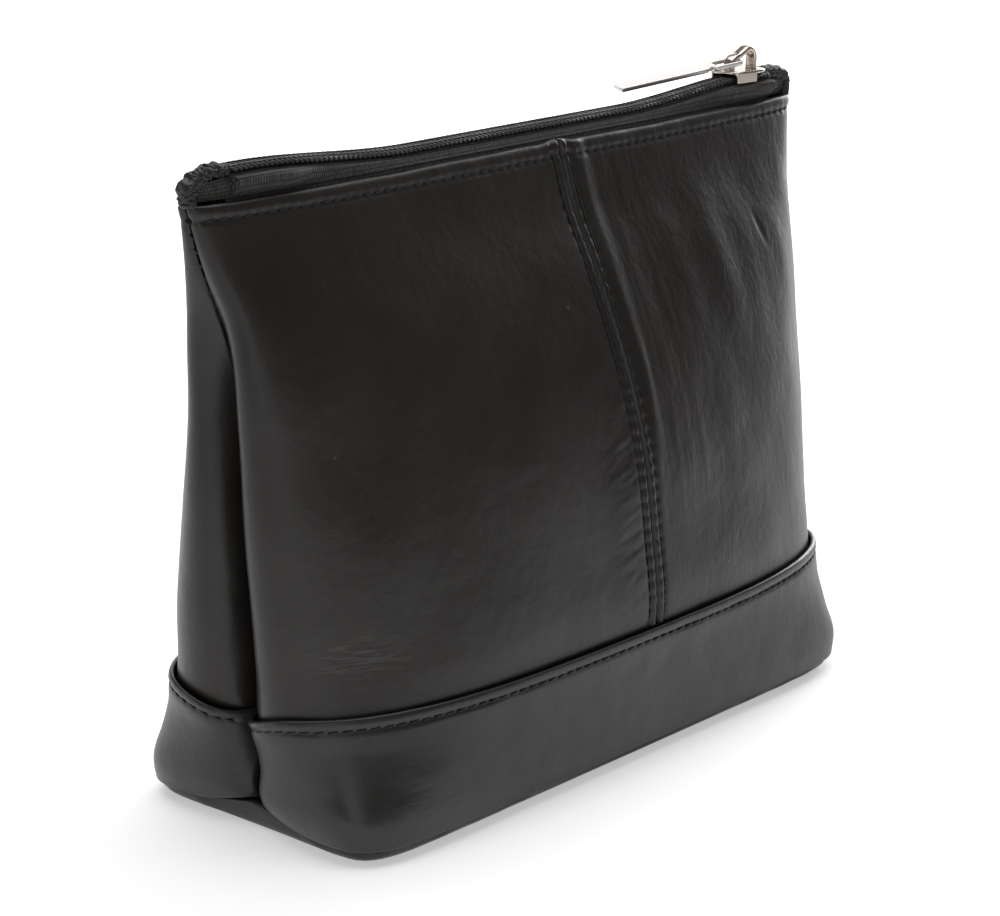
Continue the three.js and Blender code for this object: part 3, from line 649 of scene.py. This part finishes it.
base_shape = [(inward, 0.0) for inward in (35, 28, 20, 12, 7, 4, BASE_ROLL)]
for turn in np.linspace(0, math.pi / 2, 7)[1:]:
    base_shape.append((BASE_ROLL * (1 - math.sin(turn)), BASE_ROLL * (1 - math.cos(turn))))
base_shape += [(0.1, BASE_RIM - 0.1), (0.5, BASE_RIM), (1.3, BASE_RIM)]
base_rows = np.array([base_ring(inward, height) for inward, height in base_shape])
worn(sheet_piece("base_panel", base_rows, leather, closed=True), "base_panel")


# Inside of the base. A grey-brown board stiffens it, and keeps its plain shape.
def speckled_material(name, dark, pale, scale, roughness):
    """A dull fibrous material whose colour wavers between two tones."""
    material, _, shader, place = node_material(name)
    fibres = clouds(place, scale, detail=6)
    wire(shader, {
        "Base Color": mixed(fibres, (*dark, 1), (*pale, 1)),
        "Roughness": roughness,
        "Normal": bumped(fibres, strength=0.4, distance=0.0001),
    })
    return material


board = speckled_material(
    "board", (0.10, 0.09, 0.075), (0.22, 0.20, 0.17), scale=900, roughness=0.9)
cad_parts["base_board"].data.materials.clear()
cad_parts["base_board"].data.materials.append(board)


# Lining. A plain black woven lining hangs inside each wall and lies on the board.
LINING_FOOT = 4.2
LINING_INSET = 2.5
HEM_LINING_INSET = 3.1
LINING_THICKNESS = 0.4
FLOOR_LINING_HEIGHT = 3.65


def woven_material(name, tone, pitch, sheen):
    """A ribbed weave read from the piece's own UV map, with its thread pitch in millimetres:
    raised dashes in rows, each row half a dash on from the next."""
    material, tree, shader, _ = node_material(name)
    run = tree.nodes.new("ShaderNodeUVMap")
    run.uv_map = "run"
    weave = add_node(tree, "ShaderNodeTexBrick", {
        "Vector": run.outputs[0],
        "Scale": 1.0,
        "Mortar Size": 0.2 * pitch * MM,
        "Mortar Smooth": 1.0,
        "Bias": -0.2,
        "Brick Width": 0.7 * pitch * MM,
        "Row Height": 1.1 * pitch * MM,
        "Color1": WHITE,
        "Color2": (0.35, 0.35, 0.35, 1),
        "Mortar": (0, 0, 0, 1),
    })
    weave.offset = 0.5
    height = weave.outputs["Color"]
    # The colour follows the weave's height. Painted shade darkens the gaps between the threads, and
    # the raised dashes are painted lighter as a painted sheen.
    painted_gap_shade = (*[0.12 * part for part in tone], 1)
    wire(shader, {
        "Base Color": mixed(height, painted_gap_shade, (*tone, 1)),
        "Roughness": 0.75,
        "Specular IOR Level": 0.3,
        "Sheen Weight": sheen,
        "Sheen Roughness": 0.5,
        "Normal": bumped(height, strength=0.85, distance=0.0003),
    })
    return material


def lining_relief(x, height, aside):
    """The slack of the lining between its seams."""
    return 0.5 * between(height, 8, 30, 110, 128) * (wavy(x / 15, height / 22, 41.0) - 0.5)


def unmoved(*place):
    """No relief and no dip, for a sheet that follows the wall's plain shape."""
    return 0.0


lining_cloth = woven_material("lining_cloth", (0.020, 0.020, 0.021), pitch=0.5, sheen=0.2)
lining_rows = [(height, 0.0) for height in np.linspace(LINING_FOOT, 128, 40)]
lining_rows += [(height, LINING_INSET - HEM_LINING_INSET) for height in np.linspace(130, 137.8, 5)]
for place, side in SIDES:
    points = wall_points(lining_rows, lining_relief, side, -LINING_INSET, dip=unmoved)
    worn_sheet(f"lining_{place}", points, lining_cloth, LINING_THICKNESS, flip=side > 0)
floor_rows = np.array([base_ring(inward, 0, 200) for inward in (34, 24, 12, 6, 2.6)])
floor_rows += (0, 0, FLOOR_LINING_HEIGHT)
worn_sheet("lining_base", floor_rows, lining_cloth, LINING_THICKNESS)


# Zip tape. A woven tape on each side, sewn in behind the turned leather edge. Its free part
# comes up out of the mouth and turns in flat under the coil. Each free tape is cut at the
# middle of the mouth, into a left half and a right half.
CHAIN_LIFT = 3.2
CHAIN_END_RISE = 2.8
RISE_START = 36.0
RISE_END = 87.0
CHAIN_END = 91.5
COIL_HALF_WIDTH = 3.0
COIL_HALF_HEIGHT = 0.8
TOOTH_PITCH = 1.45
SLIDER_LENGTH = 12.4
SLIDER_HOME = 83.7
NOSE_SPREAD = 1.3
TAPE_THICKNESS = 0.4
TAPE_FOOT = LEATHER_HEIGHT + 0.4
TAPE_BELOW_COIL = 0.5
TAPE_EDGE = 0.6
TAPE_REAR_BEND = 4.4
TAPE_NOSE_BEND = 5.8
TAPE_POINTS = 15
SEWN_THICKNESS = 0.3
FOLD_OUT = -2.5
END_REACH = 100.6
HALVES = (("left", -1), ("right", 1))


def chain_at(x):
    """Height of the chain's middle along the mouth."""
    return LEATHER_HEIGHT + CHAIN_LIFT + CHAIN_END_RISE * fade(abs(x), RISE_START, RISE_END)


def row_spread(x):
    """How far each row of teeth stands off the middle, beyond the slider's post."""
    start, full = SLIDER_HOME - SLIDER_LENGTH / 30, SLIDER_HOME + SLIDER_LENGTH * 0.22
    return NOSE_SPREAD * fade(x, start, full)


def from_slider(x):
    """Distance from the slider's middle, at whichever end of its slide is nearer."""
    return x - math.copysign(SLIDER_HOME, x)


def held_at(x):
    """How flat the tape lies for the slider at a place along the chain, from 0 to 1."""
    return 1 - fade(abs(from_slider(x)) - SLIDER_LENGTH / 2, 0, SLIDER_LENGTH)


def tape_section(x):
    """Section of a free tape in front of the chain, from the leather's edge to the coil, with
    its corners eased. Past the chain it runs down under the zip's end."""
    fold_x, fold_y, _ = wall_line(LEATHER_HEIGHT, FOLD_OUT)
    start = min(np.interp(x, fold_x, fold_y), -0.5)
    past = max(abs(x) - CHAIN_END, 0) / (END_REACH - CHAIN_END)
    top = chain_at(x) - COIL_HALF_HEIGHT - TAPE_BELOW_COIL - 0.6 * past
    if past > 0:
        rise = np.linspace(0, 1, TAPE_POINTS)
        bulge = np.sin(rise * math.pi) * 0.35
        y = start + (-1.7 - start) * rise ** 2 - bulge
        return np.stack((y, TAPE_FOOT + (top - TAPE_FOOT) * rise), axis=1)
    nose_share = min(max(from_slider(x) / SLIDER_LENGTH + 0.5, 0), 1)
    beside = TAPE_REAR_BEND + (TAPE_NOSE_BEND - TAPE_REAR_BEND) * nose_share
    reach = COIL_HALF_WIDTH + 0.3 + (beside - COIL_HALF_WIDTH) * held_at(x)
    free_bend = np.array(((start - reach) / 2, (LEATHER_HEIGHT + top) / 2))
    held_bend = np.array((-reach, top - 1.5))
    bend = free_bend + (held_bend - free_bend) * held_at(x)
    corners = np.array((
        (start, TAPE_FOOT), bend, (-reach, top), (-TAPE_EDGE - row_spread(x), top)))
    section = evenly(corners, TAPE_POINTS)
    for _ in range(2):
        section[1:-1] = (section[:-2] + 2 * section[1:-1] + section[2:]) / 4
    return section


def final_mesh(piece):
    """A mesh as the modifiers or the bevel of a piece make it."""
    bpy.context.view_layer.update()
    graph = bpy.context.evaluated_depsgraph_get()
    return bpy.data.meshes.new_from_object(piece.evaluated_get(graph))


def apply_modifiers(piece):
    """Make a piece's modifiers part of its mesh, with its edges left sharp."""
    mesh = final_mesh(piece)
    mesh.set_sharp_from_angle(angle=math.radians(50))
    piece.modifiers.clear()
    piece.data = mesh


def parting(piece):
    """Bake a piece's place into its mesh, for a piece of one half of the zip."""
    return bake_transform(piece)


tape_cloth = woven_material("zip_tape_cloth", (0.075, 0.070, 0.065), pitch=1.0, sheen=0.08)
tape_places = np.concatenate((
    np.linspace(0, 70, 48), np.linspace(71, CHAIN_END, 34), np.linspace(92.3, END_REACH, 12)))
for place, side in SIDES:
    for half_name, half in HALVES:
        sections = []
        for x in np.sort(half * tape_places):
            sections.append([(x, -side * y, z) for y, z in tape_section(x)])
        grid = np.array(sections).transpose(1, 0, 2)
        tape = sheet_piece(f"tape_{place}_{half_name}", grid, tape_cloth, flip=side > 0)
        thicken(tape, TAPE_THICKNESS).modifiers["thickness"].offset = 0
        apply_modifiers(tape)
        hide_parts(f"tape_edge_{place}_{half_name}", f"tape_edge_{place}_mid")
        parting(tape)
    sewn_rows = [(height, 0.0) for height in np.linspace(131.4, 141.2, 8)]
    sewn = wall_points(sewn_rows, unmoved, side, FOLD_OUT, dip=unmoved)
    sewn = sewn[:, np.abs(sewn[0, :, 0]) <= CHAIN_END]
    worn_sheet(f"zip_tape_{place}", sewn, tape_cloth, SEWN_THICKNESS, flip=side > 0)


# Coils. Each side of the zip is one nylon filament wound round and round, whose bends reach
# between those of the other side. A row of stitches holds it to its tape.
FILAMENT_RADIUS = 0.4
COIL_OUT = 1.15
COIL_REACH = 1.5
COIL_THREAD_RADIUS = 0.2
COIL_THREAD_OUT = 1.75
THREAD_GRAIN = 2500


def tube(name, points, radius, material):
    """A round filament along a run of points in millimetres, as a mesh."""
    curve = bpy.data.curves.new(name, "CURVE")
    curve.dimensions = "3D"
    curve.bevel_depth = radius * MM
    curve.bevel_resolution = 1
    curve.use_fill_caps = True
    spline = curve.splines.new("POLY")
    spline.points.add(len(points) - 1)
    for point, (x, y, z) in zip(spline.points, points):
        point.co = (x * MM, y * MM, z * MM, 1)
    route = new_object(f"{name}_route", curve)
    bm = bmesh.new()
    bm.from_mesh(final_mesh(route))
    bpy.data.objects.remove(route)
    return finished(name, bm, material)


def coil_route(start, end, shift, side):
    """Route of the filament: in to the middle over the top, and back out underneath."""
    route = []
    first = math.ceil(start / TOOTH_PITCH - shift) if start < 0 else 0
    last = math.floor(end / TOOTH_PITCH - shift) if end > 0 else 0
    for tooth in range(first, last):
        for turn in np.linspace(0, 2 * math.pi, 12, endpoint=False):
            x = (tooth + shift + fade(turn, 0.55 * math.pi, 1.45 * math.pi)) * TOOTH_PITCH
            y = -COIL_OUT + COIL_REACH * blunted(math.cos(turn), 0.7) - row_spread(x)
            rise = (COIL_HALF_HEIGHT - FILAMENT_RADIUS) * blunted(math.sin(turn), 0.8)
            route.append((x, -side * y, chain_at(x) + rise))
    return route


def stitch_piece(name, stitches, material, width=0.3, height=0.22):
    """Stitches of thread, each a slim grain between two places, lying on a surface."""
    bm = bmesh.new()
    for start, end, out in stitches:
        along = (end - start) / 2
        across = out.cross(along).normalized()
        grain = Matrix((across * width, out.normalized() * height, along)).transposed().to_4x4()
        grain = Matrix.Translation((start + end) / 2 * MM) @ grain @ Matrix.Scale(MM, 4)
        bmesh.ops.create_uvsphere(bm, u_segments=6, v_segments=5, radius=1, matrix=grain)
    return finished(name, bm, material)


def plastic_material(name, tone, roughness):
    """Smooth nylon with cloudy gloss."""
    material, _, shader, place = node_material(name)
    gloss = (roughness - 0.1, roughness + 0.1)
    wire(shader, {
        "Base Color": (*tone, 1),
        "Roughness": ranged(clouds(place, 600), (0, 1), gloss),
        "Specular IOR Level": 0.45,
    })
    return material


nylon = plastic_material("coil_nylon", (0.026, 0.026, 0.026), roughness=0.3)
thread = speckled_material(
    "black_thread", (0.005, 0.0045, 0.004), (0.020, 0.018, 0.016), THREAD_GRAIN, roughness=0.42)
for place, side in SIDES:
    shift = 0.5 if side > 0 else 0.0
    for half_name, half in HALVES:
        start, end = sorted((0.0, half * CHAIN_END))
        route = coil_route(start, end, shift, side)
        coil = tube(f"coil_{place}_{half_name}", route, FILAMENT_RADIUS, nylon)
        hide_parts(f"coil_{place}_{half_name}", f"coil_{place}_mid")
        parting(coil)
        sewing = []
        for x in np.arange(start, end + 0.1, TOOTH_PITCH / 6):
            bump = 0.08 * abs(math.sin(math.pi * (x / TOOTH_PITCH - shift)))
            height = chain_at(x) + COIL_HALF_HEIGHT - 0.1 + bump
            sewing.append((x, side * (COIL_THREAD_OUT + row_spread(x)), height))
        coil_thread = tube(f"coil_thread_{place}_{half_name}", sewing, COIL_THREAD_RADIUS, thread)
        parting(coil_thread)


# Zip ends. Both tapes and coils are turned down together over the end of the mouth and bound
# round with thread, lumpy at the left end and twisted like a cord at the right one.
END_START = 91.8
END_MIDDLE = 101.5
END_THICKNESS = 2.6
END_WIDTH = 5.2
END_ROUTE_SHARES = ((0, 0), (0.55, 0.05), (0.9, 0.5), (1.04, 1.2))
RING_STEPS = 32
LEFT_LOOPS = 64
RIGHT_LOOPS = 26


def smooth_route(points, count):
    """A smooth run of points through a few given ones."""
    points = np.array(points, float)
    padded = np.vstack((2 * points[0] - points[1], points, 2 * points[-1] - points[-2]))
    route = []
    for share in np.linspace(0, len(points) - 1, count):
        i = min(int(share), len(points) - 2)
        t = share - i
        a, b, c, d = padded[i:i + 4]
        route.append(b + (c - a) * t / 2 + (a - 2.5 * b + 2 * c - d / 2) * t * t
                     + (1.5 * (b - c) + (d - a) / 2) * t ** 3)
    return np.array(route)


def swept(route, section, steps):
    """Rings of points round a route of (x, z) places. section says how far a ring reaches
    outwards and across, at a place of the route and a turn."""
    rings = []
    for i, (x, z) in enumerate(route):
        ahead, behind = route[min(i + 1, len(route) - 1)], route[max(i - 1, 0)]
        along = (ahead - behind) / np.linalg.norm(ahead - behind)
        ring = []
        for turn in np.linspace(0, 2 * math.pi, steps + 1):
            out, across = section(i, turn)
            ring.append((x - along[1] * out, across, z + along[0] * out))
        ring[-1] = ring[0]
        rings.append(ring)
    return np.array(rings)


def zip_end(side):
    """Rings of points round one end of the zip, with its ribs of thread."""
    top = chain_at(CHAIN_END)
    route = [(END_START + (END_MIDDLE - END_START) * out, top - END_THICKNESS * drop)
             for out, drop in END_ROUTE_SHARES]
    route = smooth_route(route + [(END_MIDDLE, LEATHER_HEIGHT - 0.4)], count=90)
    run = run_along(route)

    def bound(i, turn):
        if side > 0:
            twist, rib, lump = run[i] * 2 * math.pi / 2.3 - turn, 0.34, 0.15
        else:
            twist, rib, lump = run[i] * 2 * math.pi / 1.7, 0.14, 0.6
        rib *= math.cos(twist) * (1 - fade(run[i], 10, 12))
        lump *= wavy(route[i][0] / 1.7, route[i][1] / 1.5, turn + 50 * side)
        return ((END_THICKNESS / 2 + 0.15 + rib + lump) * math.cos(turn),
                (END_WIDTH / 2 - 0.3 + rib + lump) * math.sin(turn))

    return swept(route, bound, RING_STEPS) * (side, 1, 1)


def end_windings(side, grid):
    """Loops of thread over a zip end: crossed and knotted at the left end, and laid side by
    side at a slant, in two rows, at the right one."""
    loops = []
    count = len(grid) - 1
    for i in range(LEFT_LOOPS if side < 0 else 2 * RIGHT_LOOPS):
        if side < 0:
            ring = int(count * (0.04 + 0.93 * i / LEFT_LOOPS))
            turn = 4.6 + 2.6 * wavy(i * 1.7, 0.4, 3.3)
            lean, span = 14 * wavy(i * 2.3, 5.1), 7
        else:
            ring = int(count * (0.05 + 0.65 * (i % RIGHT_LOOPS) / RIGHT_LOOPS))
            turn = 4.5 + 1.1 * (i // RIGHT_LOOPS)
            lean, span = 4, 6
        around = int(turn / (2 * math.pi) * RING_STEPS) % RING_STEPS
        low, high = (around - span // 2) % RING_STEPS, (around + span // 2) % RING_STEPS
        before = Vector(grid[min(max(int(ring - lean), 0), count)][low])
        after = Vector(grid[min(max(int(ring + lean), 0), count)][high])
        middle = Vector(grid[ring].mean(axis=0))
        loops.append((before, after, (before + after) / 2 - middle))
    return loops


for half_name, side in HALVES:
    name = f"zip_end_{half_name}"
    grid = zip_end(side)
    worn(sheet_piece(name, grid, thread, closed=True), name)
    loops = end_windings(side, grid)
    windings = stitch_piece(f"{name}_threads", loops, thread, width=0.55, height=0.75)
    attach(windings, "bag")


# Slider. Two nickel plates round the coils, narrow behind and wide at the nose, with turned
# down flanges and a post between the two rows of teeth. A bent strip bridges the upper plate.
REAR_HALF_WIDTH = 4.1
NOSE_HALF_WIDTH = 5.5
REAR_RADIUS = 1.6
NOSE_RADIUS = 4.5
PLATE_TOP = 2.0
PLATE_THICKNESS = 0.9
UNDER_TOP = -1.8
FLANGE_FOOT = -0.8
FLANGE_THICKNESS = 0.55
BRIDGE_REACH = 4.25
BRIDGE_RISE = 4.4
BRIDGE_FORWARD = 0.45
BRIDGE_HALF_WIDTH = 1.5
BRIDGE_HALF_THICKNESS = 0.78
BRIDGE_ROUTE_SHARES = ((-1, 0), (-1, 0.32), (-0.8, 0.56), (-0.35, 0.68), (0.1, 0.86), (0.5, 1),
                       (0.86, 0.86), (1, 0.55), (1, 0))
slider_place = Matrix.Translation(Vector((SLIDER_HOME, 0, chain_at(SLIDER_HOME))) * MM)


def metal_material(name, tone, roughness):
    """Polished nickel plate with a cloudy shine and fine rubbing marks."""
    material, _, shader, place = node_material(name)
    marks = clouds(mapped(place, scale=(60, 900, 900)), 1.0, detail=5)
    wire(shader, {
        "Base Color": (*tone, 1),
        "Metallic": 1.0,
        "Roughness": ranged(marks, (0, 1), (roughness - 0.06, roughness + 0.08)),
        "Normal": bumped(marks, strength=0.12, distance=0.00005),
    })
    return material


def rounded(corners, radii, steps=8):
    """Outline of a polygon with rounded corners."""
    outline = []
    corners = [Vector(corner) for corner in corners]
    for i, corner in enumerate(corners):
        before, after = corners[i - 1] - corner, corners[(i + 1) % len(corners)] - corner
        held = min(radii[i], 0.48 * before.length, 0.48 * after.length)
        into, out = corner + before.normalized() * held, corner + after.normalized() * held
        for t in np.linspace(0, 1, steps):
            outline.append(into * (1 - t) ** 2 + corner * 2 * t * (1 - t) + out * t * t)
    return outline


def plate(bm, outlines, low, high, rim):
    """Add a flat plate between two heights, with its rims rounded. The second outline, where
    there is one, is a hole."""
    edges = []
    for outline in outlines:
        verts = [bm.verts.new((x * MM, y * MM, low * MM)) for x, y in outline]
        edges += [bm.edges.new((vert, verts[(i + 1) % len(verts)])) for i, vert in enumerate(verts)]
    filled = bmesh.ops.triangle_fill(bm, edges=edges, use_beauty=True)
    faces = [item for item in filled["geom"] if isinstance(item, bmesh.types.BMFace)]
    raised = bmesh.ops.extrude_face_region(bm, geom=faces, use_keep_orig=True)["geom"]
    top = [item for item in raised if isinstance(item, bmesh.types.BMVert)]
    bmesh.ops.translate(bm, verts=top, vec=(0, 0, (high - low) * MM))
    near = set(top) | {vert for edge in edges for vert in edge.verts}
    own = [face for face in bm.faces if all(vert in near for vert in face.verts)]
    bmesh.ops.recalc_face_normals(bm, faces=own)
    rims = []
    for edge in {edge for face in own for edge in face.edges}:
        level = abs(edge.verts[0].co.z - edge.verts[1].co.z) < 1e-7
        if level and len(edge.link_faces) == 2 and edge.calc_face_angle() > 1:
            rims.append(edge)
    bmesh.ops.bevel(
        bm, geom=rims, offset=rim * MM, segments=3, profile=0.5, affect="EDGES", material=-1)


def metal_piece(name, bm, place, material, body):
    """A piece made of plates, in its place on the bag. Its flat faces stay flat beside their
    rounded rims."""
    bmesh.ops.transform(bm, matrix=place, verts=bm.verts)
    piece = finished(name, bm, material)
    piece.modifiers.new("even_normals", "WEIGHTED_NORMAL")
    worn(piece, name, body)


nickel = metal_material("nickel", (0.56, 0.49, 0.43), roughness=0.2)
rear, nose = -SLIDER_LENGTH / 2, SLIDER_LENGTH / 2
slider_plan = rounded(
    ((rear, -REAR_HALF_WIDTH), (nose, -NOSE_HALF_WIDTH),
     (nose, NOSE_HALF_WIDTH), (rear, REAR_HALF_WIDTH)),
    (REAR_RADIUS, NOSE_RADIUS, NOSE_RADIUS, REAR_RADIUS),
)
bm = bmesh.new()
plate(bm, [slider_plan], PLATE_TOP - PLATE_THICKNESS, PLATE_TOP, rim=0.35)
plate(bm, [slider_plan], UNDER_TOP - PLATE_THICKNESS, UNDER_TOP, rim=0.3)
flange_rear, flange_nose = rear + REAR_RADIUS * 0.2, nose - NOSE_RADIUS * 1.15
flare = (NOSE_HALF_WIDTH - REAR_HALF_WIDTH) / SLIDER_LENGTH
for side in (-1, 1):
    outer = [(x, side * (REAR_HALF_WIDTH + flare * (x - rear)))
             for x in (flange_rear, flange_nose)]
    inner = [(x, y - side * FLANGE_THICKNESS) for x, y in outer]
    flange = rounded((inner[0], *outer, inner[1]), [0.15] * 4, steps=3)
    plate(bm, [flange], FLANGE_FOOT, PLATE_TOP - 0.25, rim=0.12)
post = ((2.5, 0), (4.6, -0.4), (5.7, 0), (4.6, 0.4))
post = rounded(post, [0.1] * 4, steps=3)
plate(bm, [post], UNDER_TOP - 0.3, PLATE_TOP - 0.5, rim=0.03)
metal_piece("slider_body", bm, slider_place, nickel, "slider")


def bridge_section(i, turn):
    """The bridge's section, a flat strip with round edges, a little out of its route."""
    out = 0.25 + blunted(math.cos(turn), 0.7) * BRIDGE_HALF_THICKNESS
    return out, blunted(math.sin(turn), 0.6) * BRIDGE_HALF_WIDTH


bridge_route = [
    (BRIDGE_REACH * along + BRIDGE_FORWARD, BRIDGE_RISE * rise + PLATE_TOP + 0.1)
    for along, rise in BRIDGE_ROUTE_SHARES
]
bridge_rings = swept(smooth_route(bridge_route, count=90), bridge_section, steps=24)
bridge = sheet_piece("slider_bridge", bridge_rings, nickel, closed=True)
bridge.data.transform(slider_place)
worn(bridge, "slider_bridge", "slider")


# Pull tab. A flat nickel tab with a neck and an eye that turns under the bridge. It lies back
# on the slider, swung a little behind the bag, and its face is left bare.
PULL_LENGTH = 31.4
PULL_HALF_WIDTH = 4.0
PULL_THICKNESS = 1.1
PULL_CORNER = 0.9
PULL_SETBACK = 0.5
PULL_RISE = 2.0
PULL_DROOP = math.radians(11)
PULL_SWING = math.radians(36)
EYE_REACH = 6.1
EYE_HALF_WIDTH = 3.2
EYE_BAR = 1.1
NECK_HALF_WIDTH = 2.5
NECK_LENGTH = 1.8
eye_end = -EYE_REACH - EYE_BAR
neck_end = eye_end - NECK_LENGTH
half_outline = [
    (0.3, PULL_HALF_WIDTH),
    (eye_end, PULL_HALF_WIDTH),
    (eye_end - NECK_LENGTH / 3, NECK_HALF_WIDTH),
    (neck_end + NECK_LENGTH / 3, NECK_HALF_WIDTH),
    (neck_end, PULL_HALF_WIDTH),
    (-PULL_LENGTH, PULL_HALF_WIDTH),
]
half_eye = [(-EYE_BAR / 2, EYE_HALF_WIDTH), (-EYE_REACH, EYE_HALF_WIDTH)]
pull_outline, eye_hole = (
    rounded(half + [(x, -y) for x, y in half[::-1]], [PULL_CORNER] * 2 * len(half), steps=6)
    for half in (half_outline, half_eye)
)
bm = bmesh.new()
plate(bm, [pull_outline, eye_hole], -PULL_THICKNESS / 2, PULL_THICKNESS / 2, rim=0.3)
pull_place = (
    slider_place
    @ Matrix.Translation(Vector((-PULL_SETBACK, 0, PLATE_TOP + PULL_RISE)) * MM)
    @ Matrix.Rotation(-PULL_SWING, 4, "Z")
    @ Matrix.Rotation(-PULL_DROOP, 4, "Y")
)
# The tab's nickel is paler than the slider's: painted light, for the brighter light on the tab's
# face.
lit_pull_nickel = metal_material("lit_pull_nickel", (0.72, 0.70, 0.675), roughness=0.28)
metal_piece("pull_tab", bm, pull_place, lit_pull_nickel, "pull")


# Stitching. Black thread along the mouth, down both sides of the front seam, along the band
# and down the upper part of the side seams.
STITCH_SINK = 0.2
ROW_MARGIN = 2.0
SIDE_STITCH_FOOT = 100


def wall_spot(height, out, side, place=None, aside=0.0):
    """A point on a wall and the way out of it there. place is the distance from the left side
    seam, and aside the distance right of the front seam where no place is given."""
    spots = []
    for level in (height - 0.5, height, height + 0.5):
        x, y, run = wall_line(level, out)
        here = np.interp(FRONT_SEAM, x, run) + aside if place is None else place
        spots.append([Vector((np.interp(at, run, x), -side * np.interp(at, run, y), level))
                      for at in (here - 0.5, here, here + 0.5)])
    up, along = spots[2][1] - spots[0][1], spots[1][2] - spots[1][0]
    away = along.cross(up) * -side
    return spots[1][1], away.normalized()


def level_row(height, out, side, dip=None):
    """A row of stitches along a wall, each a little on the slant."""
    x, _, run = wall_line(height, out)
    seam_run = np.interp(FRONT_SEAM, x, run)
    first = math.ceil((ROW_MARGIN - seam_run) / STITCH_PITCH)
    last = math.floor((run[-1] - ROW_MARGIN - STITCH_LENGTH - seam_run) / STITCH_PITCH)
    stitches = []
    for place in seam_run + STITCH_PITCH * np.arange(first, last + 1):
        ends = []
        for at, lean in ((place, -0.2), (place + STITCH_LENGTH, 0.2)):
            point, away = wall_spot(height, out, side, place=at)
            point.z += lean
            if dip:
                point.z -= dip(point.y, height)
            ends.append(point)
        stitches.append((*ends, away))
    return stitches


def seam_row(low, high, out, aside):
    """A row of stitches up the front wall, beside its seam."""
    stitches = []
    for height in np.arange(low, high - STITCH_LENGTH, STITCH_PITCH):
        foot, away = wall_spot(height, out, -1, aside=aside)
        head, _ = wall_spot(height + STITCH_LENGTH, out, -1, aside=aside)
        stitches.append((foot, head, away))
    return stitches


rows = []
for side in (-1, 1):
    rows += level_row(MOUTH_STITCH_HEIGHT, -STITCH_SINK, side)
    rows += level_row(BAND_TOP - BAND_STITCH_DROP, BAND_OUT - STITCH_SINK, side, dip=band_dip)
for height in np.arange(SIDE_STITCH_FOOT, 139, STITCH_PITCH):
    x = wall_value(height, SEAM) * MOUTH_HALF - valley_sink(height, 0)
    for end in (-1, 1):
        ends = [Vector((end * (x - 0.1), step, height + 0.5 * step)) for step in (-0.9, 0.9)]
        rows.append((*ends, Vector((end, 0, 0))))
for aside in (-SEAM_STITCH, SEAM_STITCH):
    rows += seam_row(SEAM_STITCH_FOOT, 138, -STITCH_SINK, aside)
sewing_thread = speckled_material(
    "sewing_thread", (0.0015, 0.0014, 0.0013), (0.007, 0.0065, 0.006), THREAD_GRAIN, roughness=0.7)
stitching = stitch_piece("stitching", rows, sewing_thread)
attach(stitching, "bag")
